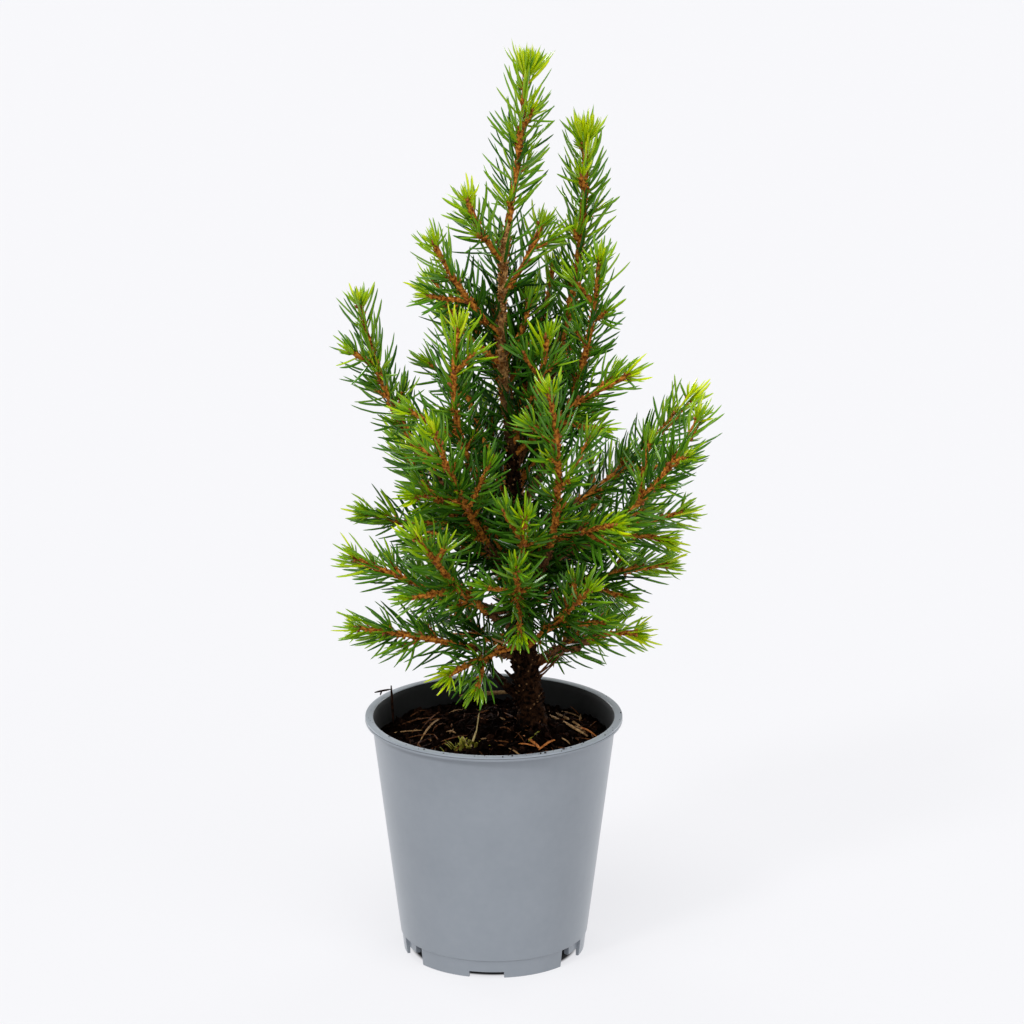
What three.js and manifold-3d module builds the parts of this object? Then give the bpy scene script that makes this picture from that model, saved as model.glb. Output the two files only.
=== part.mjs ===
// A young spruce in a round nursery pot.
//
// Units are millimetres, +Z is up and -Y is the front. Everything is laid out round the axis of the
// pot, with the ground at z = 0, and the finished group is then moved sideways until the origin lies
// under the middle of the whole plant.
//
// The plant is a trunk with shoots round it. A long shoot starts as a bare bough and goes on as a
// mass of foliage, and a short one is a mass from the trunk on. A mass is one stem with side twigs,
// and stem and twigs are slim cores that needles stand out of. Each mass keeps to its own space,
// which is every point that lies nearer its stem than the stem of any other mass.

import * as THREE from "three";
import { mergeVertices } from "three/addons/utils/BufferGeometryUtils.js";
import Module from "manifold-3d";

const wasm = await Module();
wasm.setup();

const CLEARANCE = 0.3; // gap that neighbouring solids keep

// Pot: a tapered cup with a lip, on a foot ring that three notches and three slots open.
const RIM_RADIUS = 45;
const RIM_INNER_RADIUS = 42.2;
const RIM_HEIGHT = 1.5;
const POT_HEIGHT = 86;
const BODY_TOP_RADIUS = 42.7;
const BODY_FOOT_RADIUS = 32.2;
const WALL = 0.9;
const FOOT_HEIGHT = 6.5;
const FOOT_INSET = 0.3;
const FOOT_WALL = 1.3;
const FLOOR = 1;
const POT_SEGMENTS = 44;
const FOOT_FRONT_ANGLE = -92; // degrees, middle of the front segment of the foot
const NOTCH_ANGLE = 22;
const NOTCH_HEIGHT = 6;
const SLOT_ANGLE = 22;
const SLOT_SHIFT = -2.5; // degrees from the middle of the segment
const SLOT_HEIGHT = 2.2;
const LUG_ANGLE = 13;
const LUG_RADII = [29.4, 31.3];
const LUG_BOTTOM = 2.5;

// Soil: a plug that fills the pot and rises to the trunk in a low mound.
const SOIL_EDGE_HEIGHT = 77;
const SOIL_SEGMENTS = 32;
const SOIL_ROUGHNESS = 0.5;
const FOOT_Z = 84; // flat cut under the trunk, at soil level
const MOUND_RADIUS = 9.5;

// Trunk: heights with the sideways lean there, and heights with the radius there.
const TRUNK_TOP = 262;
const TRUNK_SIDES = 9;
const TRUNK_STEP = 8;
const TRUNK_LEAN = [
  [84, 13, 1],
  [106, 10.9, 0.5],
  [142, 8.1, 0],
  [181, 6.7, -0.5],
  [205, 4, 0],
  [222, 2.7, 0],
  [250, 3.6, 0],
  [276, 7, 0],
];
const TRUNK_RADIUS = [
  [84, 6.6],
  [86, 5.6],
  [90, 4.9],
  [100, 4.5],
  [130, 3.8],
  [160, 3.1],
  [190, 2.3],
  [220, 1.8],
  [262, 1.3],
];

// Limbs and masses.
const LIMB_SIDES = 6;
const LIMB_STEP = 9;
const CORE_TIP_RADIUS = 0.8;
const TWIG_RADII = [0.95, 0.72];
const STEM_SIDES = 4;
const TWIG_SIDES = 3;
const NEEDLE_STEP = 5.2; // along a stem, from one whorl of needles to the next
const NEEDLE_LENGTH = 12.5;
const NEEDLE_LEAN = [60, 30]; // degrees off the stem, at its root and at its tip
const TWIG_SPACING = 26; // along a stem
const TWIG_LEAN = 48;
const TWIG_LENGTHS = [7, 20];
const TWIG_NEEDLES = 0.8; // length of a twig's needles, as a share of a stem's
const GOLDEN_ANGLE = 137.5;
const LOWEST_NEEDLE = 88; // foliage stays above the rim of the pot

// Shoots: where each leaves the trunk, the way it points seen from above (0 is +X, 90 is the back),
// how far out and up its tip lies, how far its path sags below the straight line and swings to its
// left, both as shares of its length, the share of it that is a bare bough, and its seed.
const SHOOTS = {
  leader: [262, 2, 6, 51, 0.02, 0.01, 0, 8],
  crest_left: [248, -163, 12.9, 22.7, 0.09, 0, 0, 1],
  crest_right: [237, 27, 14.6, 23.1, 0.12, 0, 0, 2],
  back_inner: [150, 105, 34, 40, 0.1, 0, 0, 3],
  back_inner_low: [142, 118, 40, 18, 0.1, 0, 0, 8],
  upper_back: [231, 95, 9, 22, 0.12, 0, 0, 4],
  upper_right: [213, 2, 9, 22, 0.12, 0, 0, 6],
  upper_back_low: [204, 112, 12, 26, 0.12, 0, 0, 3],
  shoulder_left: [221.5, -152, 25.6, 35.9, 0.07, 0, 0, 9],
  shoulder_left_back: [212, 157, 25.8, 27.7, 0.17, 0.02, 0, 5],
  crown_inner: [200, 45, 10.5, 35.5, 0.1, 0.05, 0, 6],
  twin_leader: [175, 19, 25.5, 114.1, 0.16, 0.08, 0.36, 108],
  right_column: [157, -17, 29.6, 94.1, 0.1, 0.09, 0.34, 9],
  right_column_side: [180, -21, 41.8, 32.6, -0.09, 0, 0, 7],
  right_wing: [139, -15, 63.6, 59.1, 0.21, -0.08, 0.36, 5],
  right_wing_back: [152, 14, 62.1, 44.7, 0.15, 0.03, 0.3, 2],
  front_spire: [127, -77, 42.3, 86.8, 0.2, 0.11, 0.34, 1],
  front_spire_right: [142, -46, 48.2, 23.4, -0.09, -0.02, 0, 8],
  front_spire_left: [139.5, -87, 46, 32, 0.12, 0.01, 0, 10],
  left_spire: [157, -132, 28.2, 74, 0.28, -0.07, 0.3, 10],
  left_arm: [145.5, -177, 53.3, 89.2, 0.2, -0.05, 0.36, 1],
  left_front: [132, -125, 50.2, 68.4, 0.08, 0, 0.32, 3],
  left_front_side: [138.5, -133, 51, 37.6, -0.22, -0.07, 0, 9],
  left_fan_high: [139.5, 171, 53.2, 17.5, -0.05, -0.04, 0, 11],
  left_fan_middle: [121.5, -170, 58.9, 24.7, 0.03, 0, 0.28, 12],
  front_left_low: [116, -126, 60.6, 49.8, 0.1, 0.01, 0.32, 5],
  left_foot: [106, -174, 58.5, 14, -0.03, 0.01, 0.3, 1],
  left_foot_front: [111.5, -134, 37.2, -2.4, -0.04, -0.07, 0, 10],
  right_fan_low: [125.5, 9, 51.5, 12.9, -0.07, 0.05, 0, 10],
  right_foot: [103, 2, 38.7, 12.3, -0.17, 0.06, 0.34, 7],
  front_right_low: [110, -60, 44.4, 33.6, 0.01, -0.01, 0, 10],
  front_stub: [123, -92, 52.5, 32.5, 0.11, 0, 0, 9],
  right_fan_middle: [132, -4, 51, 18.8, -0.28, 0.11, 0, 2],
  right_fan_back: [149, 20, 62.3, 4.7, 0.08, 0.03, 0, 10],
  crown_back_stub: [191, 105, 24, 24, 0.1, 0, 0, 2],
  crown_back: [188, 57, 26.7, 53.7, 0.1, 0, 0, 2],
  crown_right: [183.5, -42, 16.2, 42, 0.1, 0.01, 0, 5],
  back_foot_left: [105, 140, 50, 24, 0.1, 0, 0, 10],
  back_foot_right: [102, 49, 46.9, 14, 0.1, 0, 0, 12],
  back_low: [118, 94, 55.8, 22, 0.1, 0, 0, 5],
  back_left: [130, 137, 58.6, 46, 0.1, 0, 0, 3],
  back_middle: [136, 88, 49.9, 56, 0.1, 0, 0, 8],
  back_right: [127.5, 49, 55.7, 40.3, 0.09, 0.01, 0, 3],
  back_spire_left: [160, 132, 35.2, 62, 0.1, 0, 0, 9],
  back_spire_right: [166, 56, 36.7, 52, 0.1, 0, 0, 7],
};

const plastic = new THREE.MeshStandardMaterial({ color: 0x9299a1, roughness: 0.5, metalness: 0 });
const earth = new THREE.MeshStandardMaterial({ color: 0x241a13, roughness: 1, metalness: 0 });
const bark = new THREE.MeshStandardMaterial({ color: 0x5b3a22, roughness: 0.9, metalness: 0 });
const twigBark = new THREE.MeshStandardMaterial({ color: 0x9a5c2c, roughness: 0.8, metalness: 0 });
const green = new THREE.MeshStandardMaterial({ color: 0x2f7a24, roughness: 0.55, metalness: 0 });

const radians = THREE.MathUtils.degToRad;

// A small repeatable random source: each call gives the next number from 0 to 1.
function seeded(seed) {
  let state = seed >>> 0;
  return () => {
    state = (state + 0x6d2b79f5) >>> 0;
    let mixed = Math.imul(state ^ (state >>> 15), 1 | state);
    mixed = (mixed + Math.imul(mixed ^ (mixed >>> 7), 61 | mixed)) ^ mixed;
    return ((mixed ^ (mixed >>> 14)) >>> 0) / 4294967296;
  };
}

// The value of one column of a table at a key, along straight lines between its rows.
function lookUp(table, key, column = 1) {
  const last = table.length - 1;
  if (key <= table[0][0]) return table[0][column];
  if (key >= table[last][0]) return table[last][column];
  const row = table.findIndex((entry) => entry[0] > key) - 1;
  const share = (key - table[row][0]) / (table[row + 1][0] - table[row][0]);
  return THREE.MathUtils.lerp(table[row][column], table[row + 1][column], share);
}

const trunkPoint = (z) =>
  new THREE.Vector3(lookUp(TRUNK_LEAN, z, 1), lookUp(TRUNK_LEAN, z, 2), z);

// ---- Solids ------------------------------------------------------------------------------------

// A closed mesh from points and faces as a manifold solid.
function solidFromFaces(points, faces) {
  return new wasm.Manifold(
    new wasm.Mesh({
      numProp: 3,
      vertProperties: new Float32Array(points.flatMap((point) => point.toArray())),
      triVerts: new Uint32Array(faces.flat()),
    }),
  );
}

function solidFromGeometry(geometry) {
  const bare = geometry.clone();
  bare.deleteAttribute("normal");
  bare.deleteAttribute("uv");
  const merged = mergeVertices(bare, 1e-4);
  return new wasm.Manifold(
    new wasm.Mesh({
      numProp: 3,
      vertProperties: new Float32Array(merged.attributes.position.array),
      triVerts: new Uint32Array(merged.index.array),
    }),
  );
}

function geometryFromSolid(solid) {
  const mesh = solid.getMesh();
  const geometry = new THREE.BufferGeometry();
  geometry.setAttribute("position", new THREE.BufferAttribute(mesh.vertProperties, 3));
  geometry.setIndex(new THREE.BufferAttribute(mesh.triVerts, 1));
  return geometry;
}

// The largest piece that a cut leaves.
function largestPiece(solid) {
  const pieces = solid.decompose();
  return pieces.reduce((best, piece) => (piece.volume() > best.volume() ? piece : best));
}

function namedMesh(name, solid, material) {
  const flat = geometryFromSolid(solid).toNonIndexed();
  flat.computeVertexNormals();
  const mesh = new THREE.Mesh(flat, material);
  mesh.name = name;
  return mesh;
}

// A piece of a ring, from one radius, angle and height to another, with angles in degrees.
function ringSector(innerRadius, outerRadius, middle, width, bottom, top) {
  const from = radians(middle - width / 2);
  const to = radians(middle + width / 2);
  const outline = new THREE.Shape();
  outline.absarc(0, 0, outerRadius, from, to, false);
  outline.absarc(0, 0, innerRadius, to, from, true);
  outline.closePath();
  const geometry = new THREE.ExtrudeGeometry(outline, {
    depth: top - bottom,
    bevelEnabled: false,
    curveSegments: 4,
  });
  geometry.translate(0, 0, bottom);
  return solidFromGeometry(geometry);
}

// ---- Pot and soil ------------------------------------------------------------------------------

const bodyRadius = (z) =>
  THREE.MathUtils.lerp(BODY_FOOT_RADIUS, BODY_TOP_RADIUS, z / (POT_HEIGHT - RIM_HEIGHT));

function makePot() {
  const lipBottom = POT_HEIGHT - RIM_HEIGHT;
  const profile = [
    [0, FOOT_HEIGHT],
    [BODY_FOOT_RADIUS - FOOT_WALL, FOOT_HEIGHT],
    [BODY_FOOT_RADIUS - FOOT_WALL, 0],
    [BODY_FOOT_RADIUS - FOOT_INSET, 0],
    [bodyRadius(FOOT_HEIGHT) - FOOT_INSET, FOOT_HEIGHT],
    [bodyRadius(FOOT_HEIGHT), FOOT_HEIGHT + 0.2],
    [BODY_TOP_RADIUS, lipBottom],
    [RIM_RADIUS - 0.3, lipBottom],
    [RIM_RADIUS, lipBottom + 0.4],
    [RIM_RADIUS - 0.1, POT_HEIGHT - 0.3],
    [RIM_RADIUS - 0.6, POT_HEIGHT],
    [RIM_INNER_RADIUS + 0.4, POT_HEIGHT],
    [RIM_INNER_RADIUS, POT_HEIGHT - 0.4],
    [bodyRadius(lipBottom) - WALL, lipBottom - 1],
    [bodyRadius(FOOT_HEIGHT) - WALL, FOOT_HEIGHT + FLOOR + 0.8],
    [bodyRadius(FOOT_HEIGHT) - WALL - 1, FOOT_HEIGHT + FLOOR],
    [0, FOOT_HEIGHT + FLOOR],
  ].map(([radius, height]) => new THREE.Vector2(radius, height));
  const geometry = new THREE.LatheGeometry(profile, POT_SEGMENTS);
  geometry.rotateX(Math.PI / 2); // the lathe turns about Y, and the pot stands along Z
  let pot = solidFromGeometry(geometry);
  for (let third = 0; third < 3; third += 1) {
    const segment = FOOT_FRONT_ANGLE + 120 * third;
    const notch = segment + 60;
    const outside = RIM_RADIUS;
    pot = pot.subtract(ringSector(26, outside, notch, NOTCH_ANGLE, -1, NOTCH_HEIGHT));
    const slot = segment + SLOT_SHIFT;
    pot = pot.subtract(ringSector(26, outside, slot, SLOT_ANGLE, -1, SLOT_HEIGHT));
    // The lug joins the notch's end that is further from the front, by a degree.
    const side = third === 2 ? -1 : 1;
    const lug = notch + side * ((NOTCH_ANGLE - LUG_ANGLE) / 2 + 1);
    const lugTop = FOOT_HEIGHT + FLOOR / 2;
    pot = pot.add(ringSector(...LUG_RADII, lug, LUG_ANGLE, LUG_BOTTOM, lugTop));
  }
  return pot;
}

function makeSoil() {
  const random = seeded(11);
  const floor = FOOT_HEIGHT + FLOOR + CLEARANCE;
  const play = CLEARANCE + 0.25; // the wall is a polygon, nearer the axis between its corners
  const inside = (z) => bodyRadius(z) - WALL - play;
  const middle = trunkPoint(FOOT_Z);
  const moundTop = FOOT_Z - CLEARANCE;
  // Each ring is a radius, a height, how far its middle has moved to the trunk, and its roughness.
  const rings = [
    [inside(FOOT_HEIGHT) - 1.2, floor, 0, 0],
    [inside(floor + 1), floor + 1, 0, 0],
    [inside(SOIL_EDGE_HEIGHT), SOIL_EDGE_HEIGHT, 0, 0],
    [34, SOIL_EDGE_HEIGHT + 0.4, 0.1, SOIL_ROUGHNESS],
    [24, SOIL_EDGE_HEIGHT + 2.2, 0.45, SOIL_ROUGHNESS],
    [15, SOIL_EDGE_HEIGHT + 4.6, 0.85, SOIL_ROUGHNESS],
    [MOUND_RADIUS, moundTop, 1, 0],
  ];
  const points = [];
  for (const [radius, height, shift, roughness] of rings) {
    for (let k = 0; k < SOIL_SEGMENTS; k += 1) {
      const angle = (2 * Math.PI * k) / SOIL_SEGMENTS;
      const rise = roughness * (2 * random() - 1);
      points.push(
        new THREE.Vector3(
          middle.x * shift + radius * Math.cos(angle),
          middle.y * shift + radius * Math.sin(angle),
          height + rise,
        ),
      );
    }
  }
  const faces = ringFaces(rings.length, SOIL_SEGMENTS);
  capRing(points, faces, 0, SOIL_SEGMENTS, new THREE.Vector3(0, 0, floor), true);
  const last = (rings.length - 1) * SOIL_SEGMENTS;
  capRing(points, faces, last, SOIL_SEGMENTS, middle.clone().setZ(moundTop), false);
  return solidFromFaces(points, faces);
}

// ---- Tubes -------------------------------------------------------------------------------------

// The side faces of a stack of rings with the same number of points.
function ringFaces(rings, sides) {
  const faces = [];
  for (let ring = 0; ring + 1 < rings; ring += 1) {
    for (let k = 0; k < sides; k += 1) {
      const a = ring * sides + k;
      const b = ring * sides + ((k + 1) % sides);
      faces.push([a, b, b + sides], [a, b + sides, a + sides]);
    }
  }
  return faces;
}

// A fan of faces that closes a ring at a point.
function capRing(points, faces, first, sides, centre, facesBack) {
  points.push(centre);
  const hub = points.length - 1;
  for (let k = 0; k < sides; k += 1) {
    const a = first + k;
    const b = first + ((k + 1) % sides);
    faces.push(facesBack ? [b, a, hub] : [a, b, hub]);
  }
}

// The trunk, with level rings, grown outwards by an amount on all sides.
function makeTrunk(growth = 0) {
  const bottom = FOOT_Z - growth;
  const top = TRUNK_TOP + growth;
  const heights = TRUNK_RADIUS.map(([z]) => z).filter((z) => z > bottom && z < 100);
  for (let z = 100; z < top - TRUNK_STEP / 2; z += TRUNK_STEP) heights.push(z);
  const points = [];
  for (const z of [bottom, ...heights, top]) {
    const centre = trunkPoint(z);
    // The flare has three roots that run out into it.
    const flare = Math.max(0, 1 - (z - FOOT_Z) / 8);
    for (let k = 0; k < TRUNK_SIDES; k += 1) {
      const angle = (2 * Math.PI * k) / TRUNK_SIDES;
      const lobe = 1 + 0.16 * flare * Math.cos(3 * angle + 0.6);
      const radius = lookUp(TRUNK_RADIUS, z) * lobe + growth;
      points.push(
        new THREE.Vector3(
          centre.x + radius * Math.cos(angle),
          centre.y + radius * Math.sin(angle),
          z,
        ),
      );
    }
  }
  const rings = points.length / TRUNK_SIDES;
  const faces = ringFaces(rings, TRUNK_SIDES);
  capRing(points, faces, 0, TRUNK_SIDES, trunkPoint(bottom), true);
  const last = (rings - 1) * TRUNK_SIDES;
  capRing(points, faces, last, TRUNK_SIDES, trunkPoint(top), false);
  return solidFromFaces(points, faces);
}

// Places along a curve with a frame across it that doesn't twist.
function framesAlong(curve, from, to, count) {
  const frames = [];
  let across = null;
  for (let i = 0; i <= count; i += 1) {
    const share = THREE.MathUtils.lerp(from, to, i / count);
    const along = curve.getTangentAt(share);
    if (!across) {
      const least = Math.abs(along.z) < 0.9 ? new THREE.Vector3(0, 0, 1) : new THREE.Vector3(1, 0, 0);
      across = new THREE.Vector3().crossVectors(least, along).normalize();
    }
    across.addScaledVector(along, -across.dot(along)).normalize();
    frames.push({
      centre: curve.getPointAt(share),
      along,
      across: across.clone(),
      over: new THREE.Vector3().crossVectors(along, across),
      share,
    });
  }
  return frames;
}

const aroundFrame = (frame, angle, radius) =>
  frame.centre
    .clone()
    .addScaledVector(frame.across, radius * Math.cos(angle))
    .addScaledVector(frame.over, radius * Math.sin(angle));

function makeBough(shoot) {
  const { curve, boughShare, radiusAt } = shoot;
  const count = Math.max(2, Math.round((curve.getLength() * boughShare) / LIMB_STEP));
  const points = [];
  for (const frame of framesAlong(curve, 0, boughShare, count)) {
    for (let k = 0; k < LIMB_SIDES; k += 1) {
      points.push(aroundFrame(frame, (2 * Math.PI * k) / LIMB_SIDES, radiusAt(frame.share)));
    }
  }
  const faces = ringFaces(count + 1, LIMB_SIDES);
  capRing(points, faces, 0, LIMB_SIDES, curve.getPointAt(0), true);
  capRing(points, faces, count * LIMB_SIDES, LIMB_SIDES, curve.getPointAt(boughShare), false);
  return solidFromFaces(points, faces);
}

// ---- Shoots ------------------------------------------------------------------------------------

// A shoot's path: a curve with one bend, which sags below its chord and swings to its left.
function shootCurve([height, heading, reach, rise, sag, swing]) {
  const root = trunkPoint(height);
  const outward = new THREE.Vector3(Math.cos(radians(heading)), Math.sin(radians(heading)), 0);
  const tip = root.clone().addScaledVector(outward, reach);
  tip.z += rise;
  const chord = tip.clone().sub(root);
  const length = chord.length();
  const left = new THREE.Vector3(-outward.y, outward.x, 0);
  const below = new THREE.Vector3().crossVectors(chord.normalize(), left);
  if (below.z > 0) below.negate();
  const bend = root.clone().add(tip).multiplyScalar(0.5);
  bend.addScaledVector(below, sag * length).addScaledVector(left, swing * length);
  const curve = new THREE.QuadraticBezierCurve3(root, bend, tip);
  curve.arcLengthDivisions = 60;
  return curve;
}

function makeShoot(name, row, index) {
  const curve = shootCurve(row);
  const length = curve.getLength();
  const boughShare = row[6];
  const rootRadius = THREE.MathUtils.clamp(0.9 + 0.009 * length, 1.1, 1.9);
  const stemFrom = boughShare ? boughShare + CLEARANCE / length : 0;
  return {
    name,
    curve,
    length,
    seed: 1000 * row[7] + index,
    boughShare,
    stemFrom,
    radiusAt: (share) => THREE.MathUtils.lerp(rootRadius, CORE_TIP_RADIUS, share),
    stemLine: sampleLine(curve, stemFrom, 1),
    boughLine: boughShare ? sampleLine(curve, 0, boughShare) : [],
  };
}

function sampleLine(curve, from, to) {
  const count = Math.max(3, Math.ceil((curve.getLength() * (to - from)) / 4));
  return Array.from({ length: count + 1 }, (_, i) =>
    curve.getPointAt(THREE.MathUtils.lerp(from, to, i / count)),
  );
}

const segment = new THREE.Line3();
const nearest = new THREE.Vector3();

function distanceToLine(point, line) {
  let least = Infinity;
  for (let i = 0; i + 1 < line.length; i += 1) {
    segment.set(line[i], line[i + 1]);
    segment.closestPointToPoint(point, true, nearest);
    least = Math.min(least, nearest.distanceToSquared(point));
  }
  return Math.sqrt(least);
}

const shoots = Object.entries(SHOOTS).map(([name, row], index) => makeShoot(name, row, index));

// Whether a ball at a point lies in a shoot's own space, clear of trunk, boughs, soil and pot.
function inOwnSpace(shoot, point, radius) {
  if (point.z - radius < LOWEST_NEEDLE) return false;
  const level = Math.min(point.z, TRUNK_TOP);
  const fromTrunk = point.distanceTo(trunkPoint(level)) - lookUp(TRUNK_RADIUS, level);
  if (fromTrunk < radius + 2 * CLEARANCE) return false;
  const own = distanceToLine(point, shoot.stemLine) + 2 * radius + CLEARANCE;
  return shoots.every((other) => {
    if (other.boughLine.length) {
      const bare = distanceToLine(point, other.boughLine) - other.radiusAt(0);
      if (bare < radius + CLEARANCE) return false;
    }
    return other === shoot || distanceToLine(point, other.stemLine) > own;
  });
}

// A slim core along a curve with needles standing out of it. The core is a stack of rings, each
// turned half a side against the one before, so its faces are triangles, and every other triangle
// is drawn out to a point as a needle.
function makeSpray(shoot, path, random) {
  const { curve, from, to, sides, radiusAt, bareLength, needleLength } = path;
  const length = curve.getLength() * (to - from);
  const count = Math.max(2, Math.round(length / NEEDLE_STEP));
  const frames = framesAlong(curve, from, to, count);
  const points = [];
  const faces = [];
  const start = 2 * Math.PI * random();
  frames.forEach((frame, ring) => {
    for (let k = 0; k < sides; k += 1) {
      const angle = start + (2 * Math.PI * (k + ring / 2)) / sides;
      points.push(aroundFrame(frame, angle, radiusAt(frame.share)));
    }
  });
  for (let ring = 0; ring < count; ring += 1) {
    for (let k = 0; k < sides; k += 1) {
      const a = ring * sides + k;
      const b = ring * sides + ((k + 1) % sides);
      const c = a + sides;
      faces.push([b, b + sides, c]);
      const angle = start + (2 * Math.PI * (k + 0.5 + ring / 2)) / sides;
      const needle = growNeedle(
        shoot,
        frames,
        ring,
        angle,
        [points[a], points[b], points[c]],
        needleLength * (0.9 + 0.2 * random()),
        random,
      );
      const bare = (ring / count) * length < bareLength;
      if (!needle || bare) {
        faces.push([a, b, c]);
      } else {
        points.push(needle);
        const tip = points.length - 1;
        faces.push([a, b, tip], [b, c, tip], [c, a, tip]);
      }
    }
  }
  capRing(points, faces, 0, sides, frames[0].centre.clone(), true);
  const end = frames[count];
  const bud = end.centre.clone().addScaledVector(end.along, needleLength * 0.6);
  capRing(points, faces, count * sides, sides, bud, false);
  return solidFromFaces(points, faces);
}

// The tip of a needle on one face, cut back until the needle keeps to its space, or null.
function growNeedle(shoot, frames, ring, angle, corners, length, random) {
  const frame = frames[ring];
  const share = ring / (frames.length - 1);
  const lean = radians(
    THREE.MathUtils.lerp(...NEEDLE_LEAN, share ** 1.5) + 10 * (random() - 0.5),
  );
  const root = new THREE.Vector3();
  for (const corner of corners) root.addScaledVector(corner, 1 / 3);
  const way = aroundFrame({ ...frame, centre: new THREE.Vector3() }, angle, Math.sin(lean));
  way.addScaledVector(frame.along, Math.cos(lean));
  const width = corners[0].distanceTo(corners[1]) / 2;
  for (const cut of [1, 0.85, 0.7, 0.55]) {
    const tip = root.clone().addScaledVector(way, length * cut);
    const clear = [0.35, 0.6, 0.8, 1].every((part) =>
      inOwnSpace(shoot, root.clone().lerp(tip, part), width * (1 - part)),
    );
    if (clear) return tip;
  }
  return null;
}

// The side twigs of a stem: each leaves it a golden angle round from the last, and turns on by the
// same angle until it finds room in the mass's own space.
function sideTwigs(shoot, random) {
  const stemLength = shoot.length * (1 - shoot.stemFrom);
  const twigs = [];
  const count = Math.floor(stemLength / TWIG_SPACING);
  let turn = 360 * random();
  for (let i = 0; i < count; i += 1) {
    const part = (i + 0.7 + 0.4 * random()) / (count + 0.6);
    const share = THREE.MathUtils.lerp(shoot.stemFrom, 1, part);
    const reach = THREE.MathUtils.clamp(
      stemLength * (1 - part) * (0.5 + 0.3 * random()),
      ...TWIG_LENGTHS,
    );
    const [frame] = framesAlong(shoot.curve, share, share, 1);
    for (let tries = 0; tries < 6; tries += 1) {
      turn += GOLDEN_ANGLE;
      const curve = twigCurve(frame, radians(turn), reach);
      const clear = [0.4, 0.7, 1].every((place) =>
        inOwnSpace(shoot, curve.getPointAt(place), CORE_TIP_RADIUS + 1),
      );
      if (clear) {
        twigs.push({ curve, parentRadius: shoot.radiusAt(share) });
        break;
      }
    }
  }
  return twigs;
}

// A twig's path: it leaves its stem at a wide angle and bends towards the stem's own way.
function twigCurve(frame, turn, reach) {
  const lean = radians(TWIG_LEAN);
  const side = aroundFrame({ ...frame, centre: new THREE.Vector3() }, turn, Math.sin(lean));
  const way = side.addScaledVector(frame.along, Math.cos(lean));
  const bend = frame.centre.clone().addScaledVector(way, reach * 0.55);
  const tip = bend.clone().addScaledVector(way, reach * 0.4).addScaledVector(frame.along, reach * 0.12);
  const curve = new THREE.QuadraticBezierCurve3(frame.centre.clone(), bend, tip);
  curve.arcLengthDivisions = 20;
  return curve;
}

function makeMass(shoot) {
  const random = seeded(shoot.seed);
  const twigs = sideTwigs(shoot, random);
  const rootHeight = shoot.curve.getPointAt(0).z;
  const stem = {
    curve: shoot.curve,
    from: shoot.stemFrom,
    to: 1,
    sides: STEM_SIDES,
    radiusAt: shoot.radiusAt,
    bareLength: shoot.stemFrom ? 0 : lookUp(TRUNK_RADIUS, rootHeight) + 2,
    needleLength: NEEDLE_LENGTH,
  };
  return twigs.reduce(
    (mass, { curve, parentRadius }) =>
      mass.add(
        makeSpray(
          shoot,
          {
            curve,
            from: 0,
            to: 1,
            sides: TWIG_SIDES,
            radiusAt: (share) => THREE.MathUtils.lerp(...TWIG_RADII, share),
            bareLength: parentRadius + 1,
            needleLength: NEEDLE_LENGTH * TWIG_NEEDLES,
          },
          random,
        ),
      ),
    makeSpray(shoot, stem, random),
  );
}

// ---- The whole plant ---------------------------------------------------------------------------

const plant = new THREE.Group();
plant.add(namedMesh("pot", makePot(), plastic));
plant.add(namedMesh("soil", makeSoil(), earth));
plant.add(namedMesh("trunk", makeTrunk(), bark));

const trunkWithRoom = makeTrunk(CLEARANCE);
for (const shoot of shoots) {
  if (shoot.boughShare) {
    const bough = largestPiece(makeBough(shoot).subtract(trunkWithRoom));
    plant.add(namedMesh(`${shoot.name}_bough`, bough, twigBark));
  }
  const mass = largestPiece(makeMass(shoot).subtract(trunkWithRoom));
  plant.add(namedMesh(`${shoot.name}_foliage`, mass, green));
}

// The origin lies on the ground under the middle of the whole plant.
const middle = new THREE.Box3().setFromObject(plant).getCenter(new THREE.Vector3());
plant.position.set(-middle.x, -middle.y, 0);

export default plant;
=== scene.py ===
"""A young spruce in a round nursery pot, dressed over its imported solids.

The plant grows by the same rule as the solids: a leaning trunk, a table of shoots that leave it,
and side twigs that are dealt out by a seeded source. The needles, pegs, buds and bark are finer.
Lengths in the tables are millimetres, measured from the axis of the pot with the ground at z = 0,
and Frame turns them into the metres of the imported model.
"""

import logging
import math
from dataclasses import dataclass, field
from enum import Enum
from typing import Callable, Iterable, Optional, Sequence

import bmesh
import bpy
import numpy as np
from mathutils import Matrix, Vector, noise


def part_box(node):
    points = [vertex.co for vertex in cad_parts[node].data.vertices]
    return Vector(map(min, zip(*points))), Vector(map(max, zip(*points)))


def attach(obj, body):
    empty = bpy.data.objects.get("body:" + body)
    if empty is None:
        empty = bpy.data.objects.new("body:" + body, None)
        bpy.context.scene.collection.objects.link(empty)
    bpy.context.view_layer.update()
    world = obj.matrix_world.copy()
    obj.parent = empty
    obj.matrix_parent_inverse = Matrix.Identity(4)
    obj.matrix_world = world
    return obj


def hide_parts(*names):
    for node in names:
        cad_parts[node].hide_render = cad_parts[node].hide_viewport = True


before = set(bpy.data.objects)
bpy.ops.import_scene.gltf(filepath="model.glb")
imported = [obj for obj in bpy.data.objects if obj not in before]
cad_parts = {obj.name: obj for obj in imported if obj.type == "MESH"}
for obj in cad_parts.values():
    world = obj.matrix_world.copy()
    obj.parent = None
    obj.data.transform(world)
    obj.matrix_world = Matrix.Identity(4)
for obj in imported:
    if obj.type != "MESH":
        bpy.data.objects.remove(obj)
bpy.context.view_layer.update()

LOG = logging.getLogger("spruce")
MM = 0.001
MASK = 0xFFFFFFFF
DICE_STEP = 0x6D2B79F5
WELD = 1e-4
GOLDEN_ANGLE = 137.5
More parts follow.
